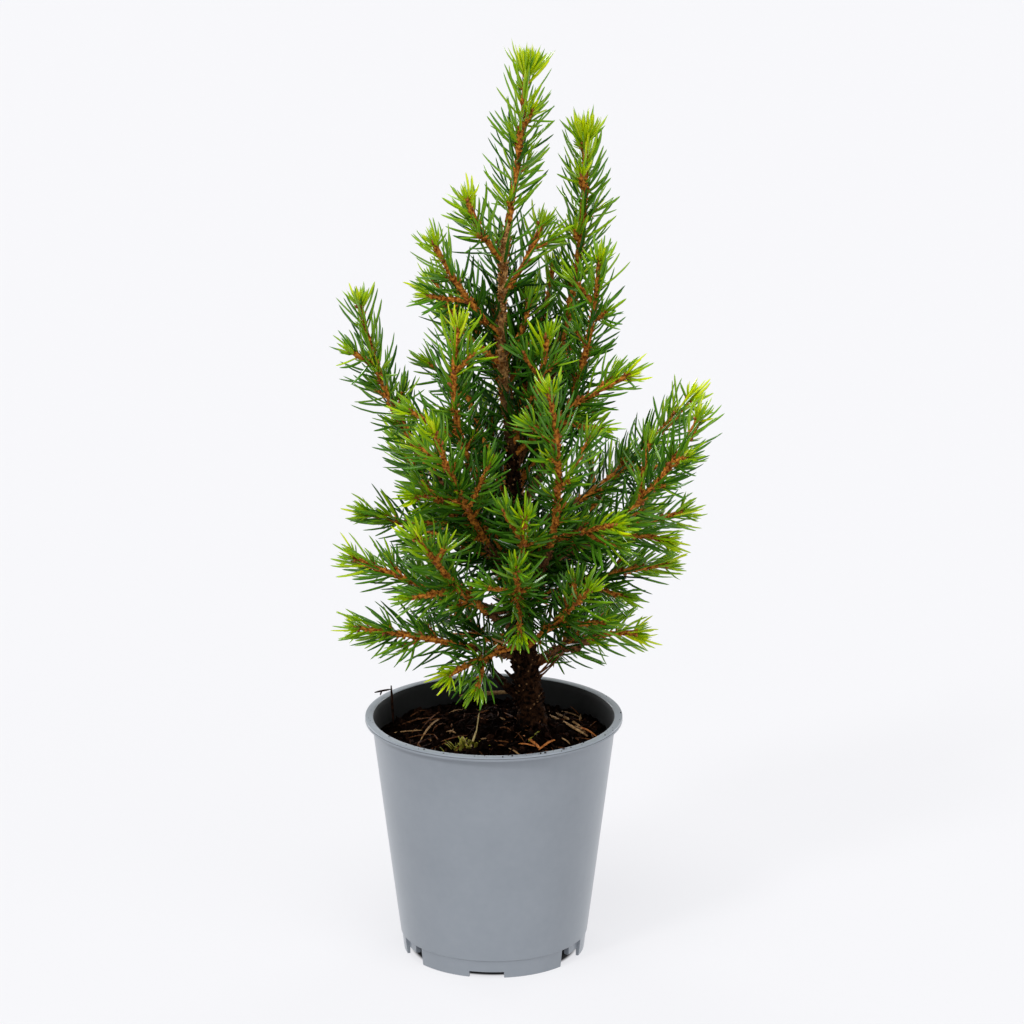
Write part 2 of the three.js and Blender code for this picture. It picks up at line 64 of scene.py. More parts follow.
CLEARANCE = 0.3

Array = np.ndarray
Pair = tuple[float, float]
Triple = tuple[float, float, float]
Color = Triple
Row = tuple[float, ...]
Material = bpy.types.Material
Shape = bmesh.types.BMesh
Tree = bpy.types.NodeTree


# ---- Named sizes of the plant ----

FOOT_Z = 84.0
TRUNK_TOP = 262.0
TRUNK_LEAN = (
    (84, 13, 1),
    (106, 10.9, 0.5),
    (142, 8.1, 0),
    (181, 6.7, -0.5),
    (205, 4, 0),
    (222, 2.7, 0),
    (250, 3.6, 0),
    (276, 7, 0),
)
TRUNK_RADIUS = (
    (84, 6.6),
    (86, 5.6),
    (90, 4.9),
    (100, 4.5),
    (130, 3.8),
    (160, 3.1),
    (190, 2.3),
    (220, 1.8),
    (262, 1.3),
)
CORE_TIP_RADIUS = 0.8
NEEDLE_LENGTH = 12.5
TWIG_NEEDLES = 0.8
TWIG_SPACING = 26.0
TWIG_LEAN = 48.0
TWIG_LENGTHS = (7.0, 20.0)
LOWEST_NEEDLE = 88.0
SAMPLE_STEP = 4.0
TWIG_TRIES = 6

# Root height, heading, reach, rise, sag, swing, bare share and seed of each shoot.
SHOOTS = {
    "leader": (262, 2, 6, 51, 0.02, 0.01, 0, 8),
    "crest_left": (248, -163, 12.9, 22.7, 0.09, 0, 0, 1),
    "crest_right": (237, 27, 14.6, 23.1, 0.12, 0, 0, 2),
    "back_inner": (150, 105, 34, 40, 0.1, 0, 0, 3),
    "back_inner_low": (142, 118, 40, 18, 0.1, 0, 0, 8),
    "upper_back": (231, 95, 9, 22, 0.12, 0, 0, 4),
    "upper_right": (213, 2, 9, 22, 0.12, 0, 0, 6),
    "upper_back_low": (204, 112, 12, 26, 0.12, 0, 0, 3),
    "shoulder_left": (221.5, -152, 25.6, 35.9, 0.07, 0, 0, 9),
    "shoulder_left_back": (212, 157, 25.8, 27.7, 0.17, 0.02, 0, 5),
    "crown_inner": (200, 45, 10.5, 35.5, 0.1, 0.05, 0, 6),
    "twin_leader": (175, 19, 25.5, 114.1, 0.16, 0.08, 0.36, 108),
    "right_column": (157, -17, 29.6, 94.1, 0.1, 0.09, 0.34, 9),
    "right_column_side": (180, -21, 41.8, 32.6, -0.09, 0, 0, 7),
    "right_wing": (139, -15, 63.6, 59.1, 0.21, -0.08, 0.36, 5),
    "right_wing_back": (152, 14, 62.1, 44.7, 0.15, 0.03, 0.3, 2),
    "front_spire": (127, -77, 42.3, 86.8, 0.2, 0.11, 0.34, 1),
    "front_spire_right": (142, -46, 48.2, 23.4, -0.09, -0.02, 0, 8),
    "front_spire_left": (139.5, -87, 46, 32, 0.12, 0.01, 0, 10),
    "left_spire": (157, -132, 28.2, 74, 0.28, -0.07, 0.3, 10),
    "left_arm": (145.5, -177, 53.3, 89.2, 0.2, -0.05, 0.36, 1),
    "left_front": (132, -125, 50.2, 68.4, 0.08, 0, 0.32, 3),
    "left_front_side": (138.5, -133, 51, 37.6, -0.22, -0.07, 0, 9),
    "left_fan_high": (139.5, 171, 53.2, 17.5, -0.05, -0.04, 0, 11),
    "left_fan_middle": (121.5, -170, 58.9, 24.7, 0.03, 0, 0.28, 12),
    "front_left_low": (116, -126, 60.6, 49.8, 0.1, 0.01, 0.32, 5),
    "left_foot": (106, -174, 58.5, 14, -0.03, 0.01, 0.3, 1),
    "left_foot_front": (111.5, -134, 37.2, -2.4, -0.04, -0.07, 0, 10),
    "right_fan_low": (125.5, 9, 51.5, 12.9, -0.07, 0.05, 0, 10),
    "right_foot": (103, 2, 38.7, 12.3, -0.17, 0.06, 0.34, 7),
    "front_right_low": (110, -60, 44.4, 33.6, 0.01, -0.01, 0, 10),
    "front_stub": (123, -92, 52.5, 32.5, 0.11, 0, 0, 9),
    "right_fan_middle": (132, -4, 51, 18.8, -0.28, 0.11, 0, 2),
    "right_fan_back": (149, 20, 62.3, 4.7, 0.08, 0.03, 0, 10),
    "crown_back_stub": (191, 105, 24, 24, 0.1, 0, 0, 2),
    "crown_back": (188, 57, 26.7, 53.7, 0.1, 0, 0, 2),
    "crown_right": (183.5, -42, 16.2, 42, 0.1, 0.01, 0, 5),
    "back_foot_left": (105, 140, 50, 24, 0.1, 0, 0, 10),
    "back_foot_right": (102, 49, 46.9, 14, 0.1, 0, 0, 12),
    "back_low": (118, 94, 55.8, 22, 0.1, 0, 0, 5),
    "back_left": (130, 137, 58.6, 46, 0.1, 0, 0, 3),
    "back_middle": (136, 88, 49.9, 56, 0.1, 0, 0, 8),
    "back_right": (127.5, 49, 55.7, 40.3, 0.09, 0.01, 0, 3),
    "back_spire_left": (160, 132, 35.2, 62, 0.1, 0, 0, 9),
    "back_spire_right": (166, 56, 36.7, 52, 0.1, 0, 0, 7),
}


# ---- Small tools ----


class Dice:
    """A small repeatable random source, the same as the one behind the solids."""

    def __init__(self, seed: int) -> None:
        """Starts the source.

        Args:
            seed: A whole number; equal seeds give equal rolls.
        """
        self.state = seed & MASK

    def roll(self) -> float:
        """Returns the next number from 0 to 1."""
        self.state = (self.state + DICE_STEP) & MASK
        mixed = ((self.state ^ (self.state >> 15)) * (1 | self.state)) & MASK
        turned = ((mixed ^ (mixed >> 7)) * (61 | mixed)) & MASK
        mixed = ((mixed + turned) & MASK) ^ mixed
        return ((mixed ^ (mixed >> 14)) & MASK) / (MASK + 1)


def look_up(table: Sequence[Sequence[float]], key: float, column: int = 1) -> float:
    """Reads one column of a table along straight lines between its rows.

    Args:
        table: Rows with the key first, in rising order.
        key: Where to read.
        column: Which column to read.

    Returns:
        The value there.
    """
    keys = [row[0] for row in table]
    return float(np.interp(key, keys, [row[column] for row in table]))


def between(pair: Sequence[float], share: float) -> float:
    """Returns the value at a share, or at each of many, of the way between a pair of values."""
    return pair[0] + (pair[1] - pair[0]) * share


def trunk_point(z: float) -> Array:
    """Returns the middle of the trunk at a height."""
    return np.array([look_up(TRUNK_LEAN, z, 1), look_up(TRUNK_LEAN, z, 2), z])


def unit(vectors: Array) -> Array:
    """Returns vectors, one or a row of them, at length 1."""
    size = np.linalg.norm(vectors, axis=-1, keepdims=True)
    return vectors / np.maximum(size, 1e-9)


def level_way(turn: float) -> Array:
    """Returns the level direction at a turn from the x axis."""
    return np.array([math.cos(turn), math.sin(turn), 0])


def fan(turn: Array, across: Array, over: Array) -> Array:
    """Returns the directions at turns from one direction towards another."""
    return np.cos(turn)[:, None] * across + np.sin(turn)[:, None] * over


def square_to(vectors: Array, ways: Array) -> Array:
    """Returns the part of each vector that is square to its way, at length 1."""
    return unit(vectors - np.einsum("ij,ij->i", vectors, ways)[:, None] * ways)


def distance_to_line(point: Array, line: Array) -> float:
    """Finds the least distance from a point to a broken line.

    Args:
        point: The point.
        line: The line's points.

    Returns:
        The distance.
    """
    start, step = line[:-1], line[1:] - line[:-1]
    share = np.einsum("ij,ij->i", point - start, step) / np.einsum("ij,ij->i", step, step)
    foot = start + np.clip(share, 0, 1)[:, None] * step
    return float(np.sqrt(((foot - point) ** 2).sum(axis=1).min()))


class Frame:
    """The place of the pot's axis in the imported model, and the step from millimetres to metres."""

    def __init__(self) -> None:
        """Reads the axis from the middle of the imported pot."""
        low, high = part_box("pot")
        self.shift = np.array([(low[0] + high[0]) / 2, (low[1] + high[1]) / 2, 0.0])

    def metres(self, points: Array) -> Array:
        """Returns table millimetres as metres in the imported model's frame."""
        return np.asarray(points, dtype=float) * MM + self.shift

    def matrix(self) -> Matrix:
        """Returns the same step as a matrix, for shapes made in millimetres round the axis."""
        return Matrix.Translation(Vector(self.shift)) @ Matrix.Scale(MM, 4)


FRAME = Frame()


def spin_outline(outline: Sequence[Pair], steps: int) -> Shape:
    """Spins an outline round the pot's axis.

    Args:
        outline: Its radii and heights, from the axis back to the axis.
        steps: How many steps the turn has.

    Returns:
        The closed shape.
    """
    shape = bmesh.new()
    points = [shape.verts.new((radius, 0, z)) for radius, z in outline]
    edges = [shape.edges.new(pair) for pair in zip(points, points[1:])]
    bmesh.ops.spin(
        shape,
        geom=points + edges,
        cent=(0, 0, 0),
        axis=(0, 0, 1),
        angle=2 * math.pi,
        steps=steps,
        use_merge=True,
        use_duplicate=False,
    )
    bmesh.ops.remove_doubles(shape, verts=shape.verts, dist=WELD)
    return shape


# ---- Finishes ----


class Tone(Enum):
    """The needles' plain colours, from light young shoot tips to painted shade deep in the crown."""

    LIME = (0.49, 0.58, 0.002)
    BRIGHT = (0.336, 0.475, 0.002)
    YOUNG = (0.223, 0.38, 0.002)
    FRESH = (0.135, 0.28, 0.007)
    LEAF = (0.062, 0.180, 0.007)
    DEEP = (0.0235, 0.088, 0.004)
    SHADE = (0.007, 0.037, 0.001)
    DRY = (0.36, 0.15, 0.035)


# How much finer the specks of a mottled surface are than its patches.
SPECK_SCALE = 5.3


def new_material(name: str) -> tuple[Material, bpy.types.ShaderNodeBsdfPrincipled]:
    """Makes a node material.

    Args:
        name: The material's name.

    Returns:
        The material and its Principled shader.
    """
    material = bpy.data.materials.new(name)
    material.use_nodes = True
    return material, material.node_tree.nodes["Principled BSDF"]


def wire(node: bpy.types.Node, inputs: dict) -> bpy.types.Node:
    """Feeds a node.

    Args:
        node: The node.
        inputs: For each input, by its name or place, its value or the output that feeds it.

    Returns:
        The node.
    """
    for key, value in inputs.items():
        if isinstance(value, bpy.types.NodeSocket):
            node.id_data.links.new(value, node.inputs[key])
        else:
            node.inputs[key].default_value = value
    return node


def add_node(tree: Tree, kind: str, inputs: dict, **settings: object) -> bpy.types.Node:
    """Adds a shader node to a tree and feeds it.

    Args:
        tree: The tree.
        kind: The node's type, without its first word.
        inputs: What feeds it, as for wire.
        settings: The node's own settings.

    Returns:
        The node.
    """
    node = tree.nodes.new(f"ShaderNode{kind}")
    for key, value in settings.items():
        setattr(node, key, value)
    return wire(node, inputs)


def coat(
    shader: bpy.types.Node, color: object, roughness: float, specular: float, **more: object
) -> None:
    """Gives a Principled shader its surface.

    Args:
        shader: The shader.
        color: Its base colour, or the output that gives it.
        roughness: Its roughness.
        specular: How strongly it shines.
        more: Its other inputs, where their names are one word.
    """
    inputs = {"Base Color": color, "Roughness": roughness, "Specular IOR Level": specular}
    wire(shader, {**inputs, **more})


def mottle_group() -> bpy.types.ShaderNodeTree:
    """Makes, once, the node group that mixes two colours in soft patches and gives a height.

    Returns:
        The group, with inputs Dark, Light, Scale, Contrast and Fleck, and outputs Color and Height.
    """
    name = "mottled_surface"
    if name in bpy.data.node_groups:
        return bpy.data.node_groups[name]
    group = bpy.data.node_groups.new(name, "ShaderNodeTree")
    for label, way, kind in (
        ("Vector", "INPUT", "Vector"),
        ("Dark", "INPUT", "Color"),
        ("Light", "INPUT", "Color"),
        ("Scale", "INPUT", "Float"),
        ("Contrast", "INPUT", "Float"),
        ("Fleck", "INPUT", "Float"),
        ("Color", "OUTPUT", "Color"),
        ("Height", "OUTPUT", "Float"),
    ):
        group.interface.new_socket(label, in_out=way, socket_type=f"NodeSocket{kind}")
    given = group.nodes.new("NodeGroupInput").outputs
    coarse = {"Vector": given["Vector"], "Scale": given["Scale"], "Detail": 5}
    broad = add_node(group, "TexNoise", coarse)
    finer = add_node(group, "Math", {0: given["Scale"], 1: SPECK_SCALE}, operation="MULTIPLY")
    fine = {"Vector": given["Vector"], "Scale": finer.outputs[0], "Detail": 2}
    specks = add_node(group, "TexNoise", fine)
    offset = {0: given["Contrast"], 1: -0.5, 2: 0.5}
    middle = add_node(group, "Math", offset, operation="MULTIPLY_ADD")
    patches = {0: broad.outputs["Fac"], 1: given["Contrast"], 2: middle.outputs[0]}
    spread = add_node(group, "Math", patches, operation="MULTIPLY_ADD")
    centred = add_node(group, "Math", {0: specks.outputs["Fac"], 1: 0.5}, operation="SUBTRACT")
    parts = {0: centred.outputs[0], 1: given["Fleck"], 2: spread.outputs[0]}
    total = add_node(group, "Math", parts, operation="MULTIPLY_ADD", use_clamp=True)
    ends = {0: total.outputs[0], 6: given["Dark"], 7: given["Light"]}
    mix = add_node(group, "Mix", ends, data_type="RGBA")
    result = {"Color": mix.outputs[2], "Height": total.outputs[0]}
    wire(group.nodes.new("NodeGroupOutput"), result)
    return group


def add_patches(
    tree: Tree, dark: Color, light: Color, scale: float, contrast: float, fleck: float
) -> bpy.types.ShaderNodeGroup:
    """Adds the mottle group to a material, in the object's own coordinates.

    Args:
        tree: The material's node tree.
        dark: The darker colour.
        light: The lighter colour.
        scale: How many patches there are in a metre.
        contrast: How sharply the two colours part.
        fleck: How strong the fine specks are.

    Returns:
        The group's node.
    """
    place = add_node(tree, "TexCoord", {})
    inputs = {
        "Vector": place.outputs["Object"],
        "Dark": (*dark, 1),
        "Light": (*light, 1),
        "Scale": scale,
        "Contrast": contrast,
        "Fleck": fleck,
    }
    return add_node(tree, "Group", inputs, node_tree=mottle_group())


def add_relief(
    tree: Tree, height: bpy.types.NodeSocket, strength: float, distance: float
) -> bpy.types.ShaderNodeBump:
    """Adds a fine relief to a material.

    Args:
        tree: The material's node tree.
        height: The output that gives the height.
        strength: How strong the relief is.
        distance: How deep it is, in metres.

    Returns:
        The relief's node.
    """
    return add_node(tree, "Bump", {"Height": height, "Strength": strength, "Distance": distance})


@dataclass(frozen=True)
class MottledFinish:
    """A matt surface of two colours in patches, with a fine relief."""

    name: str
    dark: Color
    light: Color
    scale: float
    contrast: float = 2.0
    fleck: float = 1.0
    roughness: float = 0.8
    bump: float = 0.3
    bump_distance: float = 0.0003
    specular: float = 0.12

    def material(self) -> Material:
        """Returns the finish as a material, made on its first use."""
        if self.name in bpy.data.materials:
            return bpy.data.materials[self.name]
        material, shader = new_material(self.name)
        tree = material.node_tree
        patch = add_patches(tree, self.dark, self.light, self.scale, self.contrast, self.fleck)
        relief = add_relief(tree, patch.outputs["Height"], self.bump, self.bump_distance)
        normal = relief.outputs["Normal"]
        coat(shader, patch.outputs["Color"], self.roughness, self.specular, Normal=normal)
        return material


@dataclass(frozen=True)
class NeedleFinish:
    """The waxy skin of the needles, in one plain colour."""

    tone: Tone
    roughness: float = 0.25
    specular: float = 0.33
    dark_specular: float = 0.11

    def material(self) -> Material:
        """Returns the finish as a material."""
        material, shader = new_material(f"needle_{self.tone.name.lower()}")
        dark = self.tone in (Tone.DEEP, Tone.SHADE)
        shine = self.dark_specular if dark else self.specular
        coat(shader, (*self.tone.value, 1), self.roughness, shine)
        return material


@dataclass(frozen=True)
class TrunkFinish:
    """Bark, crusty and dark from age and painted shade at the foot, smooth and orange brown at the
    top.
    """

    # The near-black colours below the change are old bark darkened with painted shade from the
    # crown.
    old: tuple[Color, Color] = ((0.0012, 0.0006, 0.0004), (0.034, 0.014, 0.006))
    young: tuple[Color, Color] = ((0.16, 0.058, 0.012), (0.60, 0.33, 0.12))
    scales: Pair = (640.0, 420.0)
    contrast: float = 3.6
    fleck: float = 0.8
    change_from: float = 0.182
    change_to: float = 0.216
    bump: float = 0.7
    bump_distance: float = 0.0005
    roughness: float = 0.85
    specular: float = 0.03

    def material(self) -> Material:
        """Returns the finish as a material."""
        material, shader = new_material("trunk_bark")
        tree = material.node_tree
        old, young = (
            add_patches(tree, *colours, scale, self.contrast, self.fleck)
            for colours, scale in zip((self.old, self.young), self.scales)
        )
        place = add_node(tree, "TexCoord", {})
        split = add_node(tree, "SeparateXYZ", {0: place.outputs["Object"]})
        change = {"From Min": self.change_from, "From Max": self.change_to}
        age = add_node(tree, "MapRange", {"Value": split.outputs["Z"], **change})
        ends = {0: age.outputs[0], 6: old.outputs["Color"], 7: young.outputs["Color"]}
        mix = add_node(tree, "Mix", ends, data_type="RGBA")
        relief = add_relief(tree, old.outputs["Height"], self.bump, self.bump_distance)
        normal = relief.outputs["Normal"]
        coat(shader, mix.outputs[2], self.roughness, self.specular, Normal=normal)
        return material


POT_OUTSIDE = MottledFinish(
    "pot_grey", (0.196, 0.219, 0.248), (0.226, 0.250, 0.281), 60, 1.2, 0.7, 0.30, 0.08, 0.0002, 0.6
)
POT_INSIDE = MottledFinish(
    "pot_inside_charcoal", (0.009, 0.0095, 0.010), (0.018, 0.0185, 0.019), 80, 1.5, 0.5, 0.5, 0.08
)
SOIL_BLACK = MottledFinish(
    "soil_black", (0.0002, 0.0001, 0.0001), (0.0050, 0.0023, 0.0013),
    330, 3.2, 1.4, 0.9, 0.9, 0.0006, 0.0
)
CRUMB_DARK = MottledFinish(
    "crumb_dark", (0.0002, 0.0001, 0.0001), (0.0060, 0.0030, 0.0020),
    700, 2.6, 1.0, 0.9, 0.5, 0.0003, 0.01
)
CRUMB_BROWN = MottledFinish(
    "crumb_brown", (0.003, 0.0012, 0.0008), (0.022, 0.009, 0.0045),
    700, 2.6, 1.0, 0.8, 0.5, 0.0003, 0.02
)
CRUMB_PALE = MottledFinish(
    "crumb_pale", (0.10, 0.075, 0.055), (0.26, 0.21, 0.16), 900, 2.0, 0.8, 0.8, 0.3
)
STRAW = MottledFinish(
    "straw_tan", (0.11, 0.055, 0.020), (0.36, 0.215, 0.095), 800, 2.8, 1.0, 0.7, 0.4
)
STRAW_ORANGE = MottledFinish(
    "straw_orange", (0.20, 0.055, 0.012), (0.46, 0.165, 0.040), 800, 2.4, 1.0, 0.6, 0.4
)
FIBRE_DARK = MottledFinish(
    "fibre_dark", (0.002, 0.0009, 0.0006), (0.026, 0.010, 0.006),
    900, 2.4, 1.0, 0.7, 0.4, 0.0003, 0.03
)
FIBRE_RUST = MottledFinish(
    "fibre_rust", (0.018, 0.006, 0.0025), (0.15, 0.055, 0.016),
    900, 2.6, 1.0, 0.6, 0.4, 0.0003, 0.06
)
MOSS = MottledFinish(
    "moss_green", (0.045, 0.05, 0.004), (0.30, 0.275, 0.03), 700, 2.2, 1.0, 0.6, 0.3
)
LEAF_BLADE = MottledFinish(
    "leaf_blade_tan", (0.22, 0.15, 0.05), (0.52, 0.41, 0.19), 500, 2.0, 0.8, 0.6, 0.3
)
BOUGH_BARK = MottledFinish(
    "bough_skin", (0.012, 0.0045, 0.0018), (0.22, 0.095, 0.035),
    900, 3.6, 1.0, 0.8, 0.7, 0.0004, 0.05
)
BARK_SCALE = MottledFinish(
    "bark_scale", (0.05, 0.022, 0.009), (0.26, 0.14, 0.06), 900, 2.8, 1.0, 0.8, 0.5, 0.0003, 0.05
)
TWIG_BARK = MottledFinish(
    "twig_skin", (0.10, 0.018, 0.002), (0.64, 0.24, 0.036), 1000, 3.4, 1.0, 0.7, 0.6, 0.0003, 0.05
)
BUD_SCALE = MottledFinish(
    "bud_scale", (0.10, 0.020, 0.005), (0.42, 0.12, 0.024), 900, 2.6, 1.0, 0.5, 0.4, 0.0002, 0.3
)


# ---- Meshes from many stamped copies ----


@dataclass
class Template:
    """A small shape that is stamped many times: its points and its faces."""

    points: Array
    loops: Array
    totals: Array

    @staticmethod
    def from_bmesh(shape: Shape) -> "Template":
        """Takes the points and faces of a bmesh, and frees it.

        Args:
            shape: The shape, in its own units.

        Returns:
            The template.
        """
        shape.verts.ensure_lookup_table()
        points = np.array([vertex.co[:] for vertex in shape.verts])
        faces = [[vertex.index for vertex in face.verts] for face in shape.faces]
        shape.free()
        return Template(
            points,
            np.array([index for face in faces for index in face]),
            np.array([len(face) for face in faces]),
        )

    def placed(self, roots: Array, axes: Sequence[Array], sizes: Sequence[Array]) -> Array:
        """Places copies of the points.

        Args:
            roots: Where each copy starts.
            axes: Each copy's directions for the shape's x, y and z.
            sizes: Each copy's sizes along them.

        Returns:
            An array of copies, points and coordinates.
        """
        points = roots[:, None, :]
        for column, (axis, size) in enumerate(zip(axes, sizes)):
            reach = size[:, None] * self.points[None, :, column]
            points = points + reach[:, :, None] * axis[:, None, :]
        return points


@dataclass
class Batch:
    """Points and faces of one kind of thing, gathered until they become one piece."""

    points: list[Array] = field(default_factory=list)
    loops: list[Array] = field(default_factory=list)
    totals: list[Array] = field(default_factory=list)
    count: int = 0

    def add(self, points: Array, loops: Array, totals: Array) -> None:
        """Adds points in millimetres with the faces on them.

        Args:
            points: One row a point.
            loops: The corners of the faces, counted within these points.
            totals: How many corners each face has.
        """
        self.points.append(points)
        self.loops.append(loops + self.count)
        self.totals.append(totals)
        self.count += len(points)

    def stamp(self, template: Template, points: Array) -> None:
        """Adds copies of a template whose points are already placed.

        Args:
            template: The shape that is copied.
            points: An array of copies, points and coordinates.
        """
        copies, size, _ = points.shape
        offsets = (np.arange(copies) * size)[:, None]
        self.add(
            points.reshape(-1, 3),
            (template.loops[None, :] + offsets).ravel(),
            np.tile(template.totals, copies),
        )

    def tube(self, rings: Array) -> None:
        """Adds a closed tube.

        Args:
            rings: An array of rings, points on a ring and coordinates.
        """
        count, sides, _ = rings.shape
        index = np.arange(count * sides).reshape(count, sides)
        after = np.roll(index, -1, axis=1)
        quads = np.stack([index[:-1], after[:-1], after[1:], index[1:]], axis=-1).reshape(-1, 4)
        ends = np.concatenate([rings[:1].mean(axis=1), rings[-1:].mean(axis=1)])
        first, last = count * sides, count * sides + 1
        back = np.stack([after[0], index[0], np.full(sides, first)], axis=-1)
        front = np.stack([index[-1], after[-1], np.full(sides, last)], axis=-1)
        self.add(
            np.concatenate([rings.reshape(-1, 3), ends]),
            np.concatenate([quads.ravel(), back.ravel(), front.ravel()]),
            np.concatenate([np.full(len(quads), 4), np.full(2 * sides, 3)]),
        )

    def piece(self, name: str, material: Material, smooth: bool = True) -> bpy.types.Object:
        """Turns what was gathered into one object.

        Args:
            name: The object's name.
            material: Its finish.
            smooth: Whether its faces are shaded smooth.

        Returns:
            The object, linked into the scene and riding on the plant.
        """
        points = FRAME.metres(np.concatenate(self.points))
        loops = np.concatenate(self.loops).astype(np.int32)
        totals = np.concatenate(self.totals).astype(np.int32)
        mesh = bpy.data.meshes.new(name)
        mesh.vertices.add(len(points))
        mesh.vertices.foreach_set("co", points.astype(np.float32).ravel())
        mesh.loops.add(len(loops))
        mesh.loops.foreach_set("vertex_index", loops)
        mesh.polygons.add(len(totals))
        starts = np.concatenate([[0], np.cumsum(totals)[:-1]]).astype(np.int32)
        mesh.polygons.foreach_set("loop_start", starts)
        mesh.polygons.foreach_set("loop_total", totals)
        mesh.update(calc_edges=True)
        mesh.validate()
        return finish_object(name, mesh, [material], smooth)


def finish_object(
    name: str,
    mesh: bpy.types.Mesh,
    materials: Iterable[Material],
    smooth: bool = True,
) -> bpy.types.Object:
    """Links a mesh into the scene as a piece of the plant.

    Args:
        name: The object's name.
        mesh: Its mesh, in metres and in place.
        materials: Its materials, in slot order.
        smooth: Whether its faces are shaded smooth.

    Returns:
        The object.
    """
    for material in materials:
        mesh.materials.append(material)
    mesh.polygons.foreach_set("use_smooth", [smooth] * len(mesh.polygons))
    thing = bpy.data.objects.new(name, mesh)
    bpy.context.scene.collection.objects.link(thing)
    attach(thing, "root")
    triangles = sum(len(polygon.vertices) - 2 for polygon in mesh.polygons)
    LOG.info("%s: %d triangles", name, triangles)
    return thing


def bmesh_piece(name: str, shape: Shape, materials: Iterable[Material]) -> bpy.types.Object:
    """Makes a piece from a bmesh in millimetres round the pot's axis, and frees it.

    Args:
        name: The piece's name.
        shape: Its shape.
        materials: Its materials, in slot order.

    Returns:
        The object.
    """
    bmesh.ops.transform(shape, matrix=FRAME.matrix(), verts=shape.verts)
    mesh = bpy.data.meshes.new(name)
    shape.to_mesh(mesh)
    shape.free()
    return finish_object(name, mesh, materials)


# ---- Paths ----


class Path:
    """A curve that is measured along its length, with a frame across it that doesn't twist."""

    def __init__(self, curve: Callable[[Array], Array], divisions: int) -> None:
        """Measures the curve.

        Args:
            curve: Gives points for parameters from 0 to 1.
            divisions: How many straight steps measure its length.
        """
        self.curve = curve
        self.params = np.linspace(0, 1, divisions + 1)
        steps = np.diff(curve(self.params), axis=0)
        self.marks = np.concatenate([[0], np.cumsum(np.linalg.norm(steps, axis=1))])
        self.length = float(self.marks[-1])

    @staticmethod
    def bent(root: Array, bend: Array, tip: Array, divisions: int) -> "Path":
        """Makes a path of one bend.

        Args:
            root: Where it starts.
            bend: The point that it bends towards.
            tip: Where it ends.
            divisions: How many straight steps measure its length.

        Returns:
            The path.
        """

        def curve(params: Array) -> Array:
            """Returns the points of the bend at parameters from 0 to 1."""
            t = np.asarray(params, dtype=float)[:, None]
            return (1 - t) ** 2 * root + 2 * t * (1 - t) * bend + t * t * tip

        return Path(curve, divisions)

    def at(self, shares: Array) -> Array:
        """Returns the points at shares of the length."""
        wanted = np.atleast_1d(shares) * self.length
        return self.curve(np.interp(wanted, self.marks, self.params))

    def along(self, shares: Array) -> Array:
        """Finds the directions of the path.

        Args:
            shares: Shares of the length.

        Returns:
            A direction for each.
        """
        wanted = np.atleast_1d(shares) * self.length
        params = np.interp(wanted, self.marks, self.params)
        low, high = np.clip(params - 1e-4, 0, 1), np.clip(params + 1e-4, 0, 1)
        return unit(self.curve(high) - self.curve(low))

    def frames(self, shares: Array) -> tuple[Array, Array, Array, Array]:
        """Finds frames across the path.

        Args:
            shares: Rising shares of the length.

        Returns:
            The points, the directions along, across and over.
        """
        points, along = self.at(shares), self.along(shares)
        upright = abs(along[0][2]) >= 0.9
        least = np.array([1.0, 0, 0]) if upright else np.array([0, 0, 1.0])
        across = unit(np.cross(least, along[0]))
        rows = []
        for direction in along:
            across = unit(across - across.dot(direction) * direction)
            rows.append(across)
        sides = np.array(rows)
        return points, along, sides, np.cross(along, sides)

    def frame_at(self, share: float) -> tuple[Array, ...]:
        """Returns the point and the directions along, across and over at one share."""
        return tuple(rows[0] for rows in self.frames(np.array([share])))

    def tip(self) -> tuple[Array, Array]:
        """Returns the path's last point and its direction there."""
        return self.at(np.array([1.0]))[0], self.along(np.array([1.0]))[0]

    def rings(self, shares: Array, size: Array, sides: int, flat: float = 1.0) -> Array:
        """Finds the rings of a tube round the path.

        Args:
            shares: Rising shares of the length, one a ring.
            size: A row for each ring with one radius, or one for each of its points.
            sides: How many points a ring has.
            flat: How thick the tube is against its width.

        Returns:
            An array of rings, points on a ring and coordinates.
        """
        points, _, across, over = self.frames(shares)
        turn = 2 * math.pi * np.arange(sides) / sides
        return points[:, None, :] + size[:, :, None] * (
            np.cos(turn)[None, :, None] * across[:, None, :]
            + flat * np.sin(turn)[None, :, None] * over[:, None, :]
        )

    def samples(self, start: float, end: float) -> Array:
        """Returns points about a sample step apart from one share to another."""
        count = max(3, math.ceil(self.length * (end - start) / SAMPLE_STEP))
        return self.at(np.linspace(start, end, count + 1))


